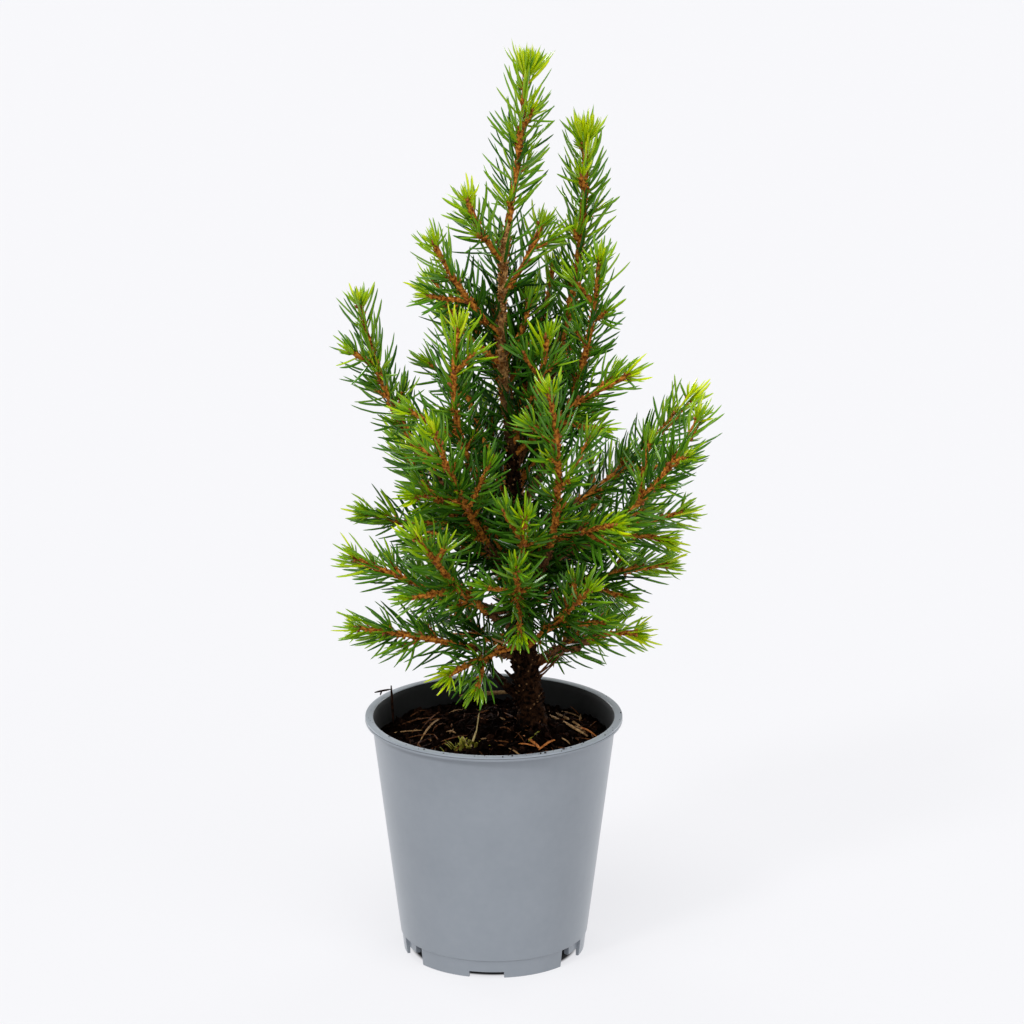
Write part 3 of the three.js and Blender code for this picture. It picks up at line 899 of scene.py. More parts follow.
@dataclass
class Shoot:
    """One shoot: where it leaves the trunk, where it goes, and how much of it is a bare bough."""

    name: str
    height: float
    heading: float
    reach: float
    rise: float
    sag: float
    swing: float
    bough_share: float
    seed: int
    path: Path = field(init=False)
    stem_from: float = field(init=False)
    stem_line: Array = field(init=False)
    bough_line: Optional[Array] = field(init=False)
    root_radius: float = field(init=False)

    def __post_init__(self) -> None:
        """Works out the path and the lines that other shoots keep clear of."""
        root = trunk_point(self.height)
        outward = level_way(math.radians(self.heading))
        tip = root + outward * self.reach + np.array([0, 0, self.rise])
        chord = tip - root
        size = float(np.linalg.norm(chord))
        left = np.array([-outward[1], outward[0], 0])
        below = np.cross(chord / size, left)
        if below[2] > 0:
            below = -below
        bend = (root + tip) / 2 + below * self.sag * size + left * self.swing * size
        self.path = Path.bent(root, bend, tip, 60)
        length = self.path.length
        self.stem_from = self.bough_share + CLEARANCE / length if self.bough_share else 0.0
        self.stem_line = self.path.samples(self.stem_from, 1)
        self.bough_line = self.path.samples(0, self.bough_share) if self.bough_share else None
        self.root_radius = float(np.clip(0.9 + 0.009 * length, 1.1, 1.9))

    def radius(self, share: float) -> float:
        """Returns the solid's core radius at a share of the length."""
        return between((self.root_radius, CORE_TIP_RADIUS), share)

    def clear_of_limbs(self, point: Array, radius: float, shoots: Sequence["Shoot"]) -> bool:
        """Tells whether a ball is clear of trunk, boughs and pot.

        Args:
            point: The ball's middle.
            radius: Its radius.
            shoots: All the shoots.

        Returns:
            True where it is clear.
        """
        if point[2] - radius < LOWEST_NEEDLE:
            return False
        level = min(point[2], TRUNK_TOP)
        gap = np.linalg.norm(point - trunk_point(level)) - look_up(TRUNK_RADIUS, level)
        if gap < radius + 2 * CLEARANCE:
            return False
        for other in shoots:
            if other.bough_line is None:
                continue
            bare = distance_to_line(point, other.bough_line) - other.radius(0)
            if bare < radius + CLEARANCE:
                return False
        return True

    def in_own_space(self, point: Array, radius: float, shoots: Sequence["Shoot"]) -> bool:
        """Tells whether a ball lies nearer this stem than any other, and clear of the limbs.

        Args:
            point: The ball's middle.
            radius: Its radius.
            shoots: All the shoots.

        Returns:
            True where it does.
        """
        if not self.clear_of_limbs(point, radius, shoots):
            return False
        own = distance_to_line(point, self.stem_line) + 2 * radius + CLEARANCE
        return all(
            other is self or distance_to_line(point, other.stem_line) > own for other in shoots
        )

    def side_twigs(self, shoots: Sequence["Shoot"]) -> list[tuple[Path, float]]:
        """Deals out the side twigs by the rule of the solids.

        Args:
            shoots: All the shoots.

        Returns:
            Each twig's path, with the share of the stem that it leaves from.
        """
        dice = Dice(self.seed)
        stem_length = self.path.length * (1 - self.stem_from)
        twigs = []
        count = int(stem_length // TWIG_SPACING)
        turn = 360 * dice.roll()
        for i in range(count):
            part = (i + 0.7 + 0.4 * dice.roll()) / (count + 0.6)
            share = self.stem_from + (1 - self.stem_from) * part
            reach = stem_length * (1 - part) * (0.5 + 0.3 * dice.roll())
            reach = min(max(reach, TWIG_LENGTHS[0]), TWIG_LENGTHS[1])
            for _ in range(TWIG_TRIES):
                turn += GOLDEN_ANGLE
                twig = self.twig_path(share, math.radians(turn), reach)
                places = twig.at(np.array([0.4, 0.7, 1]))
                if all(self.in_own_space(place, CORE_TIP_RADIUS + 1, shoots) for place in places):
                    twigs.append((twig, share))
                    break
        return twigs

    def twig_path(self, share: float, turn: float, reach: float) -> Path:
        """Bends a twig from a wide angle towards the stem's own way.

        Args:
            share: The share of the stem that it leaves from.
            turn: Its turn round the stem, in radians.
            reach: About how long it is.

        Returns:
            The twig's path.
        """
        root, along, across, over = self.path.frame_at(share)
        lean = math.radians(TWIG_LEAN)
        side = (across * math.cos(turn) + over * math.sin(turn)) * math.sin(lean)
        way = side + along * math.cos(lean)
        bend = root + way * reach * 0.55
        tip = bend + way * reach * 0.4 + along * reach * 0.12
        return Path.bent(root, bend, tip, 20)


# ---- Crown ----


@dataclass
class Spray:
    """Needles before they are planted.

    Each has the place where it starts, the ways that it points and bends, its length and how far
    it stands from its shoot's tip. The shade is how much darker than a free shoot's they are.
    """

    foot: Array
    way: Array
    curl: Array
    size: Array
    tip_distance: Array
    shade: float


@dataclass(frozen=True)
class Limb:
    """A stretch of a path, with the radii of the limb at the path's root and at its tip."""

    path: Path
    start: float
    end: float
    radii: Pair

    @property
    def length(self) -> float:
        """The length of the stretch."""
        return self.path.length * (self.end - self.start)

    def radius(self, shares: Array) -> Array:
        """Returns the limb's radius at shares of the path."""
        return between(self.radii, shares)


@dataclass(frozen=True)
class Habit:
    """How a shoot is clothed: its needles' density and leans, and the tuft at its tip."""

    density: float
    leans: Pair = (62.0, 30.0)
    tuft_count: int = 24
    tuft_length: float = 0.58
    tuft_spread: Pair = (12.0, 64.0)
    bud_steps: float = 1.0


FULL = Habit(1.42, (58.0, 32.0), 50, 0.96, (8.0, 54.0), 0.55)
OPEN = Habit(0.8)
PLAIN = Habit(1.0)


@dataclass
class Crown:
    """Boughs, twigs, pegs, buds and needles."""

    needle_width: float = 1.02
    needle_thickness: float = 0.76
    needle_spacing: float = 0.73
    needle_stretch: float = 1.1
    peg_length: float = 1.0
    peg_width: float = 0.6
    twig_radii: Pair = (0.95, 0.7)
    twiglet_spacing: float = 10.0
    twiglet_reach: Pair = (3.5, 8.0)
    twiglet_span: Pair = (0.08, 0.72)
    side_bud_spacing: float = 10.5
    bud_size: Pair = (1.0, 2.2)
    seed: int = 20
    low_shade: float = 0.135
    side_shade: float = 0.035
    crest_shade: float = 0.05
    crest_from: float = 236.0
    sunny_lift: float = 0.07
    shade_heights: Pair = (135.0, 235.0)
    # Heights between which the painted shade deep in the crown fades out upwards.
    inner_heights: Pair = (236.0, 262.0)
    open_from: float = 178.0
    full_tips: tuple[str, ...] = ("leader", "twin_leader")
    sunny: tuple[str, ...] = ("right_fan_back", "right_fan_middle", "right_fan_low", "right_foot")
    crown_radius: tuple[Pair, ...] = ((90, 40), (120, 58), (190, 55), (240, 34), (300, 12))
    lean_scatter: float = 7.0
    upward_turn: float = 0.16
    limb_sides: int = 9
    limb_rough: float = 0.15
    limb_swell: float = 0.08
    ring_spacing: float = 0.9
    # How long the youngest needles are, what full ones add to it, and over how many millimetres.
    young_length: Pair = (0.64, 0.36)
    young_reach: float = 10.0
    # The least of each thing that varies, and the most that chance adds to it.
    needle_lengths: Pair = (0.86, 0.24)
    needle_widths: Pair = (0.85, 0.3)
    needle_bends: Pair = (0.06, 0.22)
    tuft_lengths: Pair = (0.85, 0.3)
    peg_sizes: Pair = (0.8, 0.5)
    whorl_buds: Pair = (2, 3)
    whorl_turns: Pair = (1.9, 0.5)
    whorl_sizes: Pair = (0.5, 0.3)
    side_bud_sizes: Pair = (0.7, 0.3)
    side_bud_needles: Pair = (6, 4)
    side_bud_lengths: Pair = (3.4, 2.2)
    side_bud_steps: Pair = (0.7, 0.6)
    bare_peg_spacing: float = 0.45
    twiglet_radii: Pair = (0.72, 0.6)
    # The values that part the tones, from the lightest to the darkest.
    tone_edges: Row = (0.09, 0.19, 0.31, 0.45, 0.62, 0.82)
    spray_count: int = 7
    tip_darkening: float = 0.52
    tip_reach: float = 11.0
    # Painted shade inside the crown: how much darker the tones get with depth, and more past 0.3 of
    # it.
    painted_depth_shade: Pair = (0.10, 0.48)
    spray_whim: float = 0.06
    needle_whim: float = 0.09
    # Painted floor light: how much lighter the lowest needles are, below which height, over how
    # much.
    painted_floor_light: Triple = (0.11, 132, 20)
    # How many needles are dry, below which height and from which depth.
    dry: Triple = (0.05, 125, 0.6)
    # Bare millimetres at the root of a shoot without a bough, below a height and above it.
    bare_root: Pair = (9.0, 1.5)
    foot_below: float = 112.0
    # Bare share of a bough, above a height and below it.
    bare_bough: Pair = (0.15, 0.8)
    bare_below: float = 125.0
    trunk_bottom: float = 150
    # Two shares of the upper trunk, and how closely the needles stand between them.
    trunk_needles: tuple[Triple, ...] = ((0.0, 0.3, 0.25), (0.3, 0.6, 0.4), (0.6, 1.0, 0.7))
    # Share of the bough, offset and size of each lump of the knot.
    knot: tuple[tuple[float, Triple, float], ...] = (
        (0.40, (0, -0.2, -1.0), 1.9),
        (0.47, (0.2, -0.6, -1.6), 2.3),
        (0.54, (0.3, 0.2, -0.9), 1.8),
        (0.45, (-0.5, 0.8, 0.4), 1.5),
    )
    shoots: list[Shoot] = field(default_factory=list)
    needles: dict[Tone, Batch] = field(default_factory=lambda: {tone: Batch() for tone in Tone})
    twigs: Batch = field(default_factory=Batch)
    boughs: Batch = field(default_factory=Batch)
    buds: Batch = field(default_factory=Batch)

    def __post_init__(self) -> None:
        """Reads the table of shoots and makes the templates."""
        for index, (name, row) in enumerate(SHOOTS.items()):
            self.shoots.append(Shoot(name, *row[:7], seed=1000 * row[7] + index))
        self.random = np.random.default_rng(self.seed)
        self.long_needle = self.needle_template(
            ((0.12, 1.9), (0.33, 1.08), (0.30, 0.88), (0.18, 0.58)), 0.07
        )
        self.short_needle = self.needle_template(((0.22, 1.9), (0.50, 0.84)), 0.28)
        self.peg = self.peg_template()
        self.bud = self.bud_template()

    @staticmethod
    def needle_template(stages: Sequence[Pair], point: float) -> Template:
        """Makes a needle of length 1: four-sided, broad to near its end and blunt.

        Args:
            stages: How far each stage goes on and how much wider it gets.
            point: The length of its point.

        Returns:
            The template, 1 wide.
        """
        shape = bmesh.new()
        bmesh.ops.create_circle(shape, cap_ends=True, segments=4, radius=0.5)
        last = shape.faces[:]
        for step, width in stages:
            made = bmesh.ops.extrude_face_region(shape, geom=last)["geom"]
            bmesh.ops.delete(shape, geom=last, context="FACES_ONLY")
            ring = [item for item in made if isinstance(item, bmesh.types.BMVert)]
            last = [item for item in made if isinstance(item, bmesh.types.BMFace)]
            bmesh.ops.translate(shape, verts=ring, vec=(0, 0, step))
            bmesh.ops.scale(shape, verts=ring, vec=(width, width, 1))
        top = bmesh.ops.poke(shape, faces=last)["verts"]
        bmesh.ops.translate(shape, verts=top, vec=(0, 0, point))
        bottom = [vertex for vertex in shape.verts if abs(vertex.co.z) < 1e-6]
        bmesh.ops.contextual_create(shape, geom=bottom)
        widest = max(abs(vertex.co.x) for vertex in shape.verts)
        bmesh.ops.scale(shape, verts=shape.verts, vec=(0.5 / widest, 0.5 / widest, 1))
        bmesh.ops.recalc_face_normals(shape, faces=shape.faces)
        return Template.from_bmesh(shape)

    @staticmethod
    def peg_template() -> Template:
        """Makes a peg: the short woody foot that a needle stands on."""
        shape = bmesh.new()
        bmesh.ops.create_cone(
            shape, cap_ends=True, segments=5, radius1=0.65, radius2=0.38, depth=1.0
        )
        bmesh.ops.translate(shape, verts=shape.verts, vec=(0, 0, 0.5))
        return Template.from_bmesh(shape)

    @staticmethod
    def bud_template() -> Template:
        """Makes a bud: an egg of overlapping scales with a blunt point."""
        shape = bmesh.new()
        bmesh.ops.create_uvsphere(shape, u_segments=10, v_segments=7, radius=0.5)
        for vertex in shape.verts:
            turn = math.atan2(vertex.co.y, vertex.co.x)
            level = vertex.co.z + 0.5
            scale = 1 + 0.13 * math.sin(5 * turn + 21 * level)
            narrow = 1 - 0.45 * max(0.0, level - 0.45) ** 1.2
            vertex.co.x *= scale * narrow
            vertex.co.y *= scale * narrow
            vertex.co.z = level
        return Template.from_bmesh(shape)

    def vary(self, spread: Pair, count: Optional[int] = None) -> Array:
        """Returns one value, or as many as asked, from the least and the most that is added."""
        return spread[0] + spread[1] * self.random.random(count)

    def tube(self, batch: Batch, limb: Limb) -> None:
        """Adds the rough skin of a limb.

        Args:
            batch: Where it goes.
            limb: The limb.
        """
        count = max(4, int(limb.length / self.ring_spacing))
        shares = np.linspace(limb.start, limb.end, count + 1)
        rough = 1 + self.limb_rough * (self.random.random((count + 1, self.limb_sides)) - 0.5) * 2
        wave = shares * limb.path.length / 2.3 + 6 * self.random.random()
        size = limb.radius(shares) * (1 + self.limb_swell * np.sin(wave))
        batch.tube(limb.path.rings(shares, size[:, None] * rough, self.limb_sides))

    def dress(
        self,
        limb: Limb,
        length: float,
        wood: Batch,
        leans: Pair,
        density: float = 1.0,
        age: float = 0.0,
        shade: float = 0.0,
    ) -> None:
        """Grows needles and their pegs along a limb.

        Args:
            limb: The limb that carries them.
            length: The length of a full needle.
            wood: Where the pegs go.
            leans: Degrees off the limb at the start and at the end.
            density: How closely they stand, against a young stem.
            age: Millimetres that the end counts as away from a growing tip.
            shade: How much darker than a free shoot's the tones are.
        """
        random = self.random
        path, start, end = limb.path, limb.start, limb.end
        count = int(limb.length / self.needle_spacing * density)
        if count < 3:
            return
        places = (np.arange(count) + 0.6 * random.random(count)) / count
        shares = np.sort(between((start, end), places))
        points, along, across, over = path.frames(shares)
        turn = np.radians(GOLDEN_ANGLE) * np.arange(count) + 0.5 * random.normal(size=count)
        outward = fan(turn, across, over)
        part = (shares - start) / (end - start)
        lean = between(leans, part**1.6)
        lean = np.radians(lean + self.lean_scatter * random.normal(size=count))
        way = fan(np.clip(lean, 0.2, 1.5), along, outward)
        level = np.sqrt(np.clip(1 - along[:, 2] ** 2, 0, 1))
        way[:, 2] += self.upward_turn * level * random.random(count)
        way = unit(way)
        roots = points + outward * (limb.radius(shares) * 0.75)[:, None]
        curl = square_to(along, way)
        tip_distance = (end - shares) * path.length + age
        size = length * self.needle_stretch * self.vary(self.needle_lengths, count)
        young, grown = self.young_length
        size *= young + grown * np.clip(tip_distance / self.young_reach, 0, 1)
        self.add_pegs(wood, roots, way, curl)
        foot = roots + way * self.peg_length * 0.5
        self.plant(Spray(foot, way, curl, size, tip_distance, shade), self.long_needle)

    def tuft(
        self,
        root: Array,
        way: Array,
        length: float,
        count: int,
        shade: float,
        spread: Pair = (8.0, 44.0),
        age: float = 0.0,
    ) -> None:
        """Grows the close brush of short young needles that hides a growing point.

        Args:
            root: The growing point.
            way: Where it points.
            length: The length of its outer needles.
            count: How many needles it has.
            shade: How much darker than a free shoot's the tones are.
            spread: Degrees off its way at its middle and at its outside.
            age: Millimetres that it counts as away from a growing tip.
        """
        random = self.random
        share = (np.arange(count) + random.random(count)) / count
        across = unit(np.cross(way, np.array([0.31, 0.9, 0.2])))
        over = np.cross(way, across)
        turn = np.radians(GOLDEN_ANGLE) * np.arange(count) + 0.4 * random.normal(size=count)
        outward = fan(turn, across, over)
        lean = between(spread, share) + 5 * random.normal(size=count)
        lean = np.radians(np.clip(lean, 2, 70))
        ways = fan(lean, way, outward)
        foot = root + outward * (0.25 + 0.5 * share)[:, None] - way * (1.5 * share)[:, None]
        size = length * (0.62 + 0.38 * share) * self.vary(self.tuft_lengths, count)
        curl = unit(way - np.einsum("ij,j->i", ways, way)[:, None] * ways)
        self.plant(Spray(foot, ways, curl, size, 6 * share + age, shade), self.short_needle)

    @staticmethod
    def fits(points: Array) -> Array:
        """Finds the points that stay clear of the trunk and above the pot.

        Args:
            points: One row a point.

        Returns:
            Whether each does.
        """
        level = np.minimum(points[:, 2], TRUNK_TOP)
        lean, size = np.array(TRUNK_LEAN), np.array(TRUNK_RADIUS)
        middle = np.stack([np.interp(level, lean[:, 0], lean[:, k]) for k in (1, 2)], axis=1)
        gap = np.linalg.norm(points[:, :2] - middle, axis=1)
        free = gap > 0.95 * np.interp(level, size[:, 0], size[:, 1])
        return (points[:, 2] > LOWEST_NEEDLE + 0.5) & (free | (points[:, 2] > TRUNK_TOP))

    def plant(self, spray: Spray, needle: Template) -> None:
        """Deals the needles of a spray their tones and stamps those that fit.

        Args:
            spray: The needles.
            needle: The shape that is stamped.
        """
        middles = spray.foot + spray.way * (spray.size * 0.5)[:, None]
        tips = spray.foot + spray.way * spray.size[:, None]
        keep = self.fits(middles) & self.fits(tips)
        tones = self.deal_tones(spray, middles)
        for tone in Tone:
            chosen = keep & (tones == tone)
            if chosen.any():
                self.stamp_needles(tone, spray, chosen, needle)

    def deal_tones(self, spray: Spray, middles: Array) -> Array:
        """Deals each spray of needles a tone: lighter at the shoot tips, painted shade deep in the
        crown.

        Args:
            spray: The needles.
            middles: Their middles.

        Returns:
            A tone for each needle.
        """
        ladder = np.array([tone for tone in Tone if tone is not Tone.DRY])
        count, height = len(middles), middles[:, 2]
        reach = np.interp(height, *zip(*self.crown_radius))
        lean = np.array([trunk_point(z)[:2] for z in height])
        depth = np.clip(1 - np.linalg.norm(middles[:, :2] - lean, axis=1) / reach, 0, 1)
        sprays = np.arange(count) // self.spray_count
        whim = self.random.normal(size=sprays[-1] + 1)[sprays]
        # Painted shade: below the crest, needles deeper inside the crown get darker tones.
        low, high = self.inner_heights
        near, deep = self.painted_depth_shade
        inner = np.clip((high - height) / (high - low), 0, 1)
        inner *= near * depth + deep * np.clip(depth - 0.3, 0, 1)
        age = 1 - np.exp(-spray.tip_distance / self.tip_reach)
        value = spray.shade + self.tip_darkening * age + inner + self.spray_whim * whim
        value += self.needle_whim * self.random.normal(size=count)
        # Painted light from the floor: the lowest needles get lighter tones.
        lift, level, over = self.painted_floor_light
        value -= lift * np.clip((level - height) / over, 0, 1)
        tones = ladder[np.searchsorted(np.array(self.tone_edges), value)]
        chance, below, inside = self.dry
        dry = (self.random.random(count) < chance) & (height < below) & (depth > inside)
        tones[dry] = Tone.DRY
        return tones

    def stamp_needles(self, tone: Tone, spray: Spray, chosen: Array, needle: Template) -> None:
        """Stamps needles of one tone.

        Args:
            tone: Their tone.
            spray: The needles that they are chosen from.
            chosen: Which are stamped.
            needle: The shape that is stamped.
        """
        foot, way, curl = spray.foot[chosen], spray.way[chosen], spray.curl[chosen]
        size, count = spray.size[chosen], int(chosen.sum())
        side = np.cross(way, curl)
        width = self.needle_width * self.vary(self.needle_widths, count)
        width *= np.clip(size / NEEDLE_LENGTH + 0.25, 0.6, 1)
        bend = self.vary(self.needle_bends, count)
        roll = 2 * math.pi * self.random.random(count)
        wide = fan(roll, curl, side)
        thin = np.cos(roll)[:, None] * side - np.sin(roll)[:, None] * curl
        thick = width * self.needle_thickness / self.needle_width
        points = needle.placed(foot, (wide, thin, way), (width, thick, size))
        bent = (size * bend)[:, None] * needle.points[None, :, 2] ** 2
        self.needles[tone].stamp(needle, points + bent[:, :, None] * curl[:, None, :])

    def add_pegs(self, wood: Batch, roots: Array, way: Array, curl: Array) -> None:
        """Stamps the pegs that the needles stand on.

        Args:
            wood: Where they go.
            roots: Where each starts.
            way: Where each points.
            curl: A direction across it.
        """
        other = np.cross(way, curl)
        long = self.peg_length * self.vary(self.peg_sizes, len(roots))
        wide = self.peg_width * self.vary(self.peg_sizes, len(roots))
        wood.stamp(self.peg, self.peg.placed(roots, (curl, other, way), (wide, wide, long)))

    def stud(self, wood: Batch, limb: Limb) -> None:
        """Sets bare pegs, whose needles have fallen, along a limb.

        Args:
            wood: Where they go.
            limb: The limb that carries them.
        """
        count = int(limb.length / self.bare_peg_spacing)
        if count < 2:
            return
        shares = np.linspace(limb.start, limb.end, count)
        points, along, across, over = limb.path.frames(shares)
        turn = np.radians(GOLDEN_ANGLE) * np.arange(count) + self.random.normal(size=count)
        outward = fan(turn, across, over)
        way = unit(outward + 0.9 * along)
        roots = points + outward * (limb.radius(shares) * 0.72)[:, None]
        self.add_pegs(wood, roots, way, square_to(along, way))

    def add_bud(self, root: Array, way: Array, size: float = 1.0) -> None:
        """Stamps one bud.

        Args:
            root: Where it sits.
            way: Where it points.
            size: Its size against a terminal bud.
        """
        shape = self.bud.points
        across = unit(np.cross(way, np.array([0.3, 0.9, 0.2])))
        over = np.cross(way, across)
        wide, long = self.bud_size
        points = (
            root
            + 2 * wide * size * (shape[:, 0:1] * across + shape[:, 1:2] * over)
            + long * size * shape[:, 2:3] * way
        )
        self.buds.stamp(self.bud, points[None])

    def bud_whorl(self, path: Path, share: float, radius: float) -> None:
        """Sets a whorl of small buds round a stem, as at the end of each year's growth.

        Args:
            path: The stem's path.
            share: Where on it.
            radius: The stem's radius there.
        """
        point, along, across, over = path.frame_at(share)
        turn = 2 * math.pi * self.random.random()
        for _ in range(int(self.vary(self.whorl_buds))):
            turn += self.vary(self.whorl_turns)
            outward = math.cos(turn) * across + math.sin(turn) * over
            way = unit(outward + 0.8 * along)
            root = point + outward * radius * 0.7
            self.add_bud(root, way, self.vary(self.whorl_sizes))

    def grow_twiglets(self, shoot: Shoot) -> None:
        """Grows short second twigs along the inner part of a stem, by the rule of the twigs.

        Args:
            shoot: The shoot that carries them.
        """
        random = self.random
        stem = shoot.path.length * (1 - shoot.stem_from)
        turn = 2 * math.pi * random.random()
        count = stem / self.twiglet_spacing * (0.7 if shoot.height > self.open_from else 1)
        for i in range(int(count)):
            turn += math.radians(GOLDEN_ANGLE)
            part = between(self.twiglet_span, (i + random.random()) / count)
            share = shoot.stem_from + (1 - shoot.stem_from) * part
            twig = shoot.twig_path(share, turn, between(self.twiglet_reach, random.random()))
            end, way = twig.tip()
            if not shoot.clear_of_limbs(end + 2 * way, CORE_TIP_RADIUS, self.shoots):
                continue
            self.tube(self.twigs, Limb(twig, 0, 0.98, self.twiglet_radii))
            shade = self.shade(shoot) + 0.06
            self.dress(
                Limb(twig, min(0.4, 1.4 / twig.length), 1, self.twiglet_radii),
                NEEDLE_LENGTH * 0.68,
                self.twigs,
                leans=(54, 28),
                density=1.15,
                age=5.0,
                shade=shade,
            )
            self.tuft(end, way, 6.0, 8, shade, (10, 48), 3.0)

    def grow_side_buds(self, shoot: Shoot) -> None:
        """Sets opening side buds, each a small brush of young needles, along the outer stem.

        Args:
            shoot: The shoot that carries them.
        """
        random = self.random
        stem = shoot.path.length * (1 - shoot.stem_from)
        turn = 2 * math.pi * random.random()
        spacing = self.side_bud_spacing * self.habit(shoot).bud_steps
        distance = spacing * (0.55 + 0.45 * random.random())
        while distance < 0.75 * stem:
            share = 1 - distance / shoot.path.length
            point, along, across, over = shoot.path.frame_at(share)
            turn += math.radians(GOLDEN_ANGLE) + 0.5 * random.normal()
            outward = math.cos(turn) * across + math.sin(turn) * over
            way = unit(outward + 0.9 * along)
            root = point + outward * shoot.radius(share) * 0.6
            self.add_bud(root, way, self.vary(self.side_bud_sizes))
            count = int(self.vary(self.side_bud_needles))
            length = self.vary(self.side_bud_lengths)
            shade = self.shade(shoot) + 0.05 + min(0.28, distance / 110)
            self.tuft(root + way * 1.6, way, length, count, shade, (8, 40))
            distance += spacing * self.vary(self.side_bud_steps)

    def habit(self, shoot: Shoot) -> Habit:
        """Chooses how a shoot is clothed.

        Args:
            shoot: The shoot.

        Returns:
            Its habit.
        """
        if shoot.name in self.full_tips:
            return FULL
        return OPEN if shoot.height > self.open_from else PLAIN

    def shade(self, shoot: Shoot) -> float:
        """Works out how dark a shoot's tips are.

        Args:
            shoot: The shoot.

        Returns:
            How much darker they are than the leader's.
        """
        low, high = self.shade_heights
        tip = shoot.height + shoot.rise
        value = self.low_shade * min(1.0, max(0.0, (high - tip) / (high - low)))
        if shoot.name not in self.full_tips:
            value += self.side_shade + (self.crest_shade if tip > self.crest_from else 0.0)
        return value - (self.sunny_lift if shoot.name in self.sunny else 0.0)

    def grow_bough(self, shoot: Shoot, shade: float) -> None:
        """Grows the bough of a shoot, with bare pegs and the few needles of its outer part.

        Args:
            shoot: The shoot.
            shade: How much darker than a free shoot's the tones are.
        """
        path, share = shoot.path, shoot.bough_share
        radii = (shoot.root_radius * 0.95, 0.95)
        self.tube(self.boughs, Limb(path, 0, share + 0.02, radii))
        self.stud(self.boughs, Limb(path, 0.02, share, radii))
        self.dress(
            Limb(path, self.bare_bough[shoot.height <= self.bare_below] * share, share, radii),
            NEEDLE_LENGTH * 0.9,
            self.boughs,
            leans=(72, 60),
            density=0.55,
            age=path.length * (1 - share),
            shade=shade,
        )

    def grow_shoot(self, shoot: Shoot) -> None:
        """Grows one shoot: its bough, its stem with needles, its side twigs and its buds.

        Args:
            shoot: The shoot.
        """
        path, radii = shoot.path, (shoot.root_radius * 0.85, 0.85)
        shade = self.shade(shoot)
        if shoot.bough_share:
            self.grow_bough(shoot, shade)
        root, bare = shoot.stem_from, 0.0
        self.tube(self.twigs, Limb(path, root, 0.995, radii))
        if not shoot.bough_share:
            clear = self.bare_root[0 if shoot.height < self.foot_below else 1]
            bare = (look_up(TRUNK_RADIUS, shoot.height) + clear) / path.length
        habit = self.habit(shoot)
        stem = Limb(path, max(root, bare), 1, radii)
        self.dress(stem, NEEDLE_LENGTH, self.twigs, habit.leans, habit.density, shade=shade)
        end, way = path.tip()
        self.add_bud(end - way * 0.6, way)
        length = NEEDLE_LENGTH * habit.tuft_length
        self.tuft(end + way * 0.4, way, length, habit.tuft_count, shade, habit.tuft_spread)
        self.bud_whorl(path, 0.985, 0.9)
        for twig, share in shoot.side_twigs(self.shoots):
            self.tube(self.twigs, Limb(twig, 0, 0.98, self.twig_radii))
            self.dress(
                Limb(twig, 1.5 / twig.length, 1, self.twig_radii),
                NEEDLE_LENGTH * TWIG_NEEDLES,
                self.twigs,
                leans=(58, 28),
                age=3.5,
                shade=shade + 0.05,
            )
            end, way = twig.tip()
            self.add_bud(end - way * 0.5, way, 0.8)
            self.tuft(end + way * 0.3, way, NEEDLE_LENGTH * 0.6, 14, shade + 0.08)
            self.bud_whorl(path, share, shoot.radius(share))
        self.grow_twiglets(shoot)
        self.grow_side_buds(shoot)

    def dress_trunk(self) -> None:
        """Grows the needles of the upper trunk, which thin out downwards."""
        steps = 50
        ends = (self.trunk_bottom, TRUNK_TOP)
        middles = np.array([trunk_point(z) for z in np.linspace(*ends, steps)])
        keys = np.linspace(0, 1, steps)

        def curve(params: Array) -> Array:
            """Returns the points of the trunk's middle at parameters from 0 to 1."""
            return np.stack([np.interp(params, keys, column) for column in middles.T], axis=1)

        path = Path(curve, 2 * steps)
        radii = tuple(look_up(TRUNK_RADIUS, z) for z in ends)
        for start, end, density in self.trunk_needles:
            limb, age = Limb(path, start, end, radii), (1 - end) * path.length + 40
            self.dress(limb, NEEDLE_LENGTH, self.twigs, (66, 50), density, age)

    def add_knot(self) -> None:
        """Sets the woody knot on the lowest right bough."""
        shoot = next(shoot for shoot in self.shoots if shoot.name == "right_foot")
        shape = bmesh.new()
        bmesh.ops.create_icosphere(shape, subdivisions=3, radius=1)
        lump = Template.from_bmesh(shape)
        for share, out, size in self.knot:
            centre = shoot.path.at(np.array([share]))[0] + np.array(out)
            spots = [Vector(point) * 1.7 + Vector(centre) for point in lump.points]
            rough = [noise.fractal(spot, 1.0, 2.0, 3) for spot in spots]
            points = centre + lump.points * (size * (1 + 0.35 * np.array(rough)))[:, None]
            self.boughs.stamp(lump, points[None])

    def build(self) -> None:
        """Grows the whole crown and makes its pieces."""
        for shoot in self.shoots:
            self.grow_shoot(shoot)
        self.dress_trunk()
        self.add_knot()
        masses = [f"{shoot.name}_foliage" for shoot in self.shoots]
        boughs = [f"{shoot.name}_bough" for shoot in self.shoots if shoot.bough_share]
        limbs = self.boughs.piece("bough_limbs", BOUGH_BARK.material())
        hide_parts(*boughs)
        stems = self.twigs.piece("foliage_twigs", TWIG_BARK.material())
        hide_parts(*masses)
        buds = self.buds.piece("foliage_buds", BUD_SCALE.material())
        for tone in Tone:
            if self.needles[tone].count:
                leaves = self.needles[tone].piece(
                    f"needles_{tone.name.lower()}", NeedleFinish(tone).material(), smooth=False
                )
                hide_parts(*masses)


# ---- Trunk ----


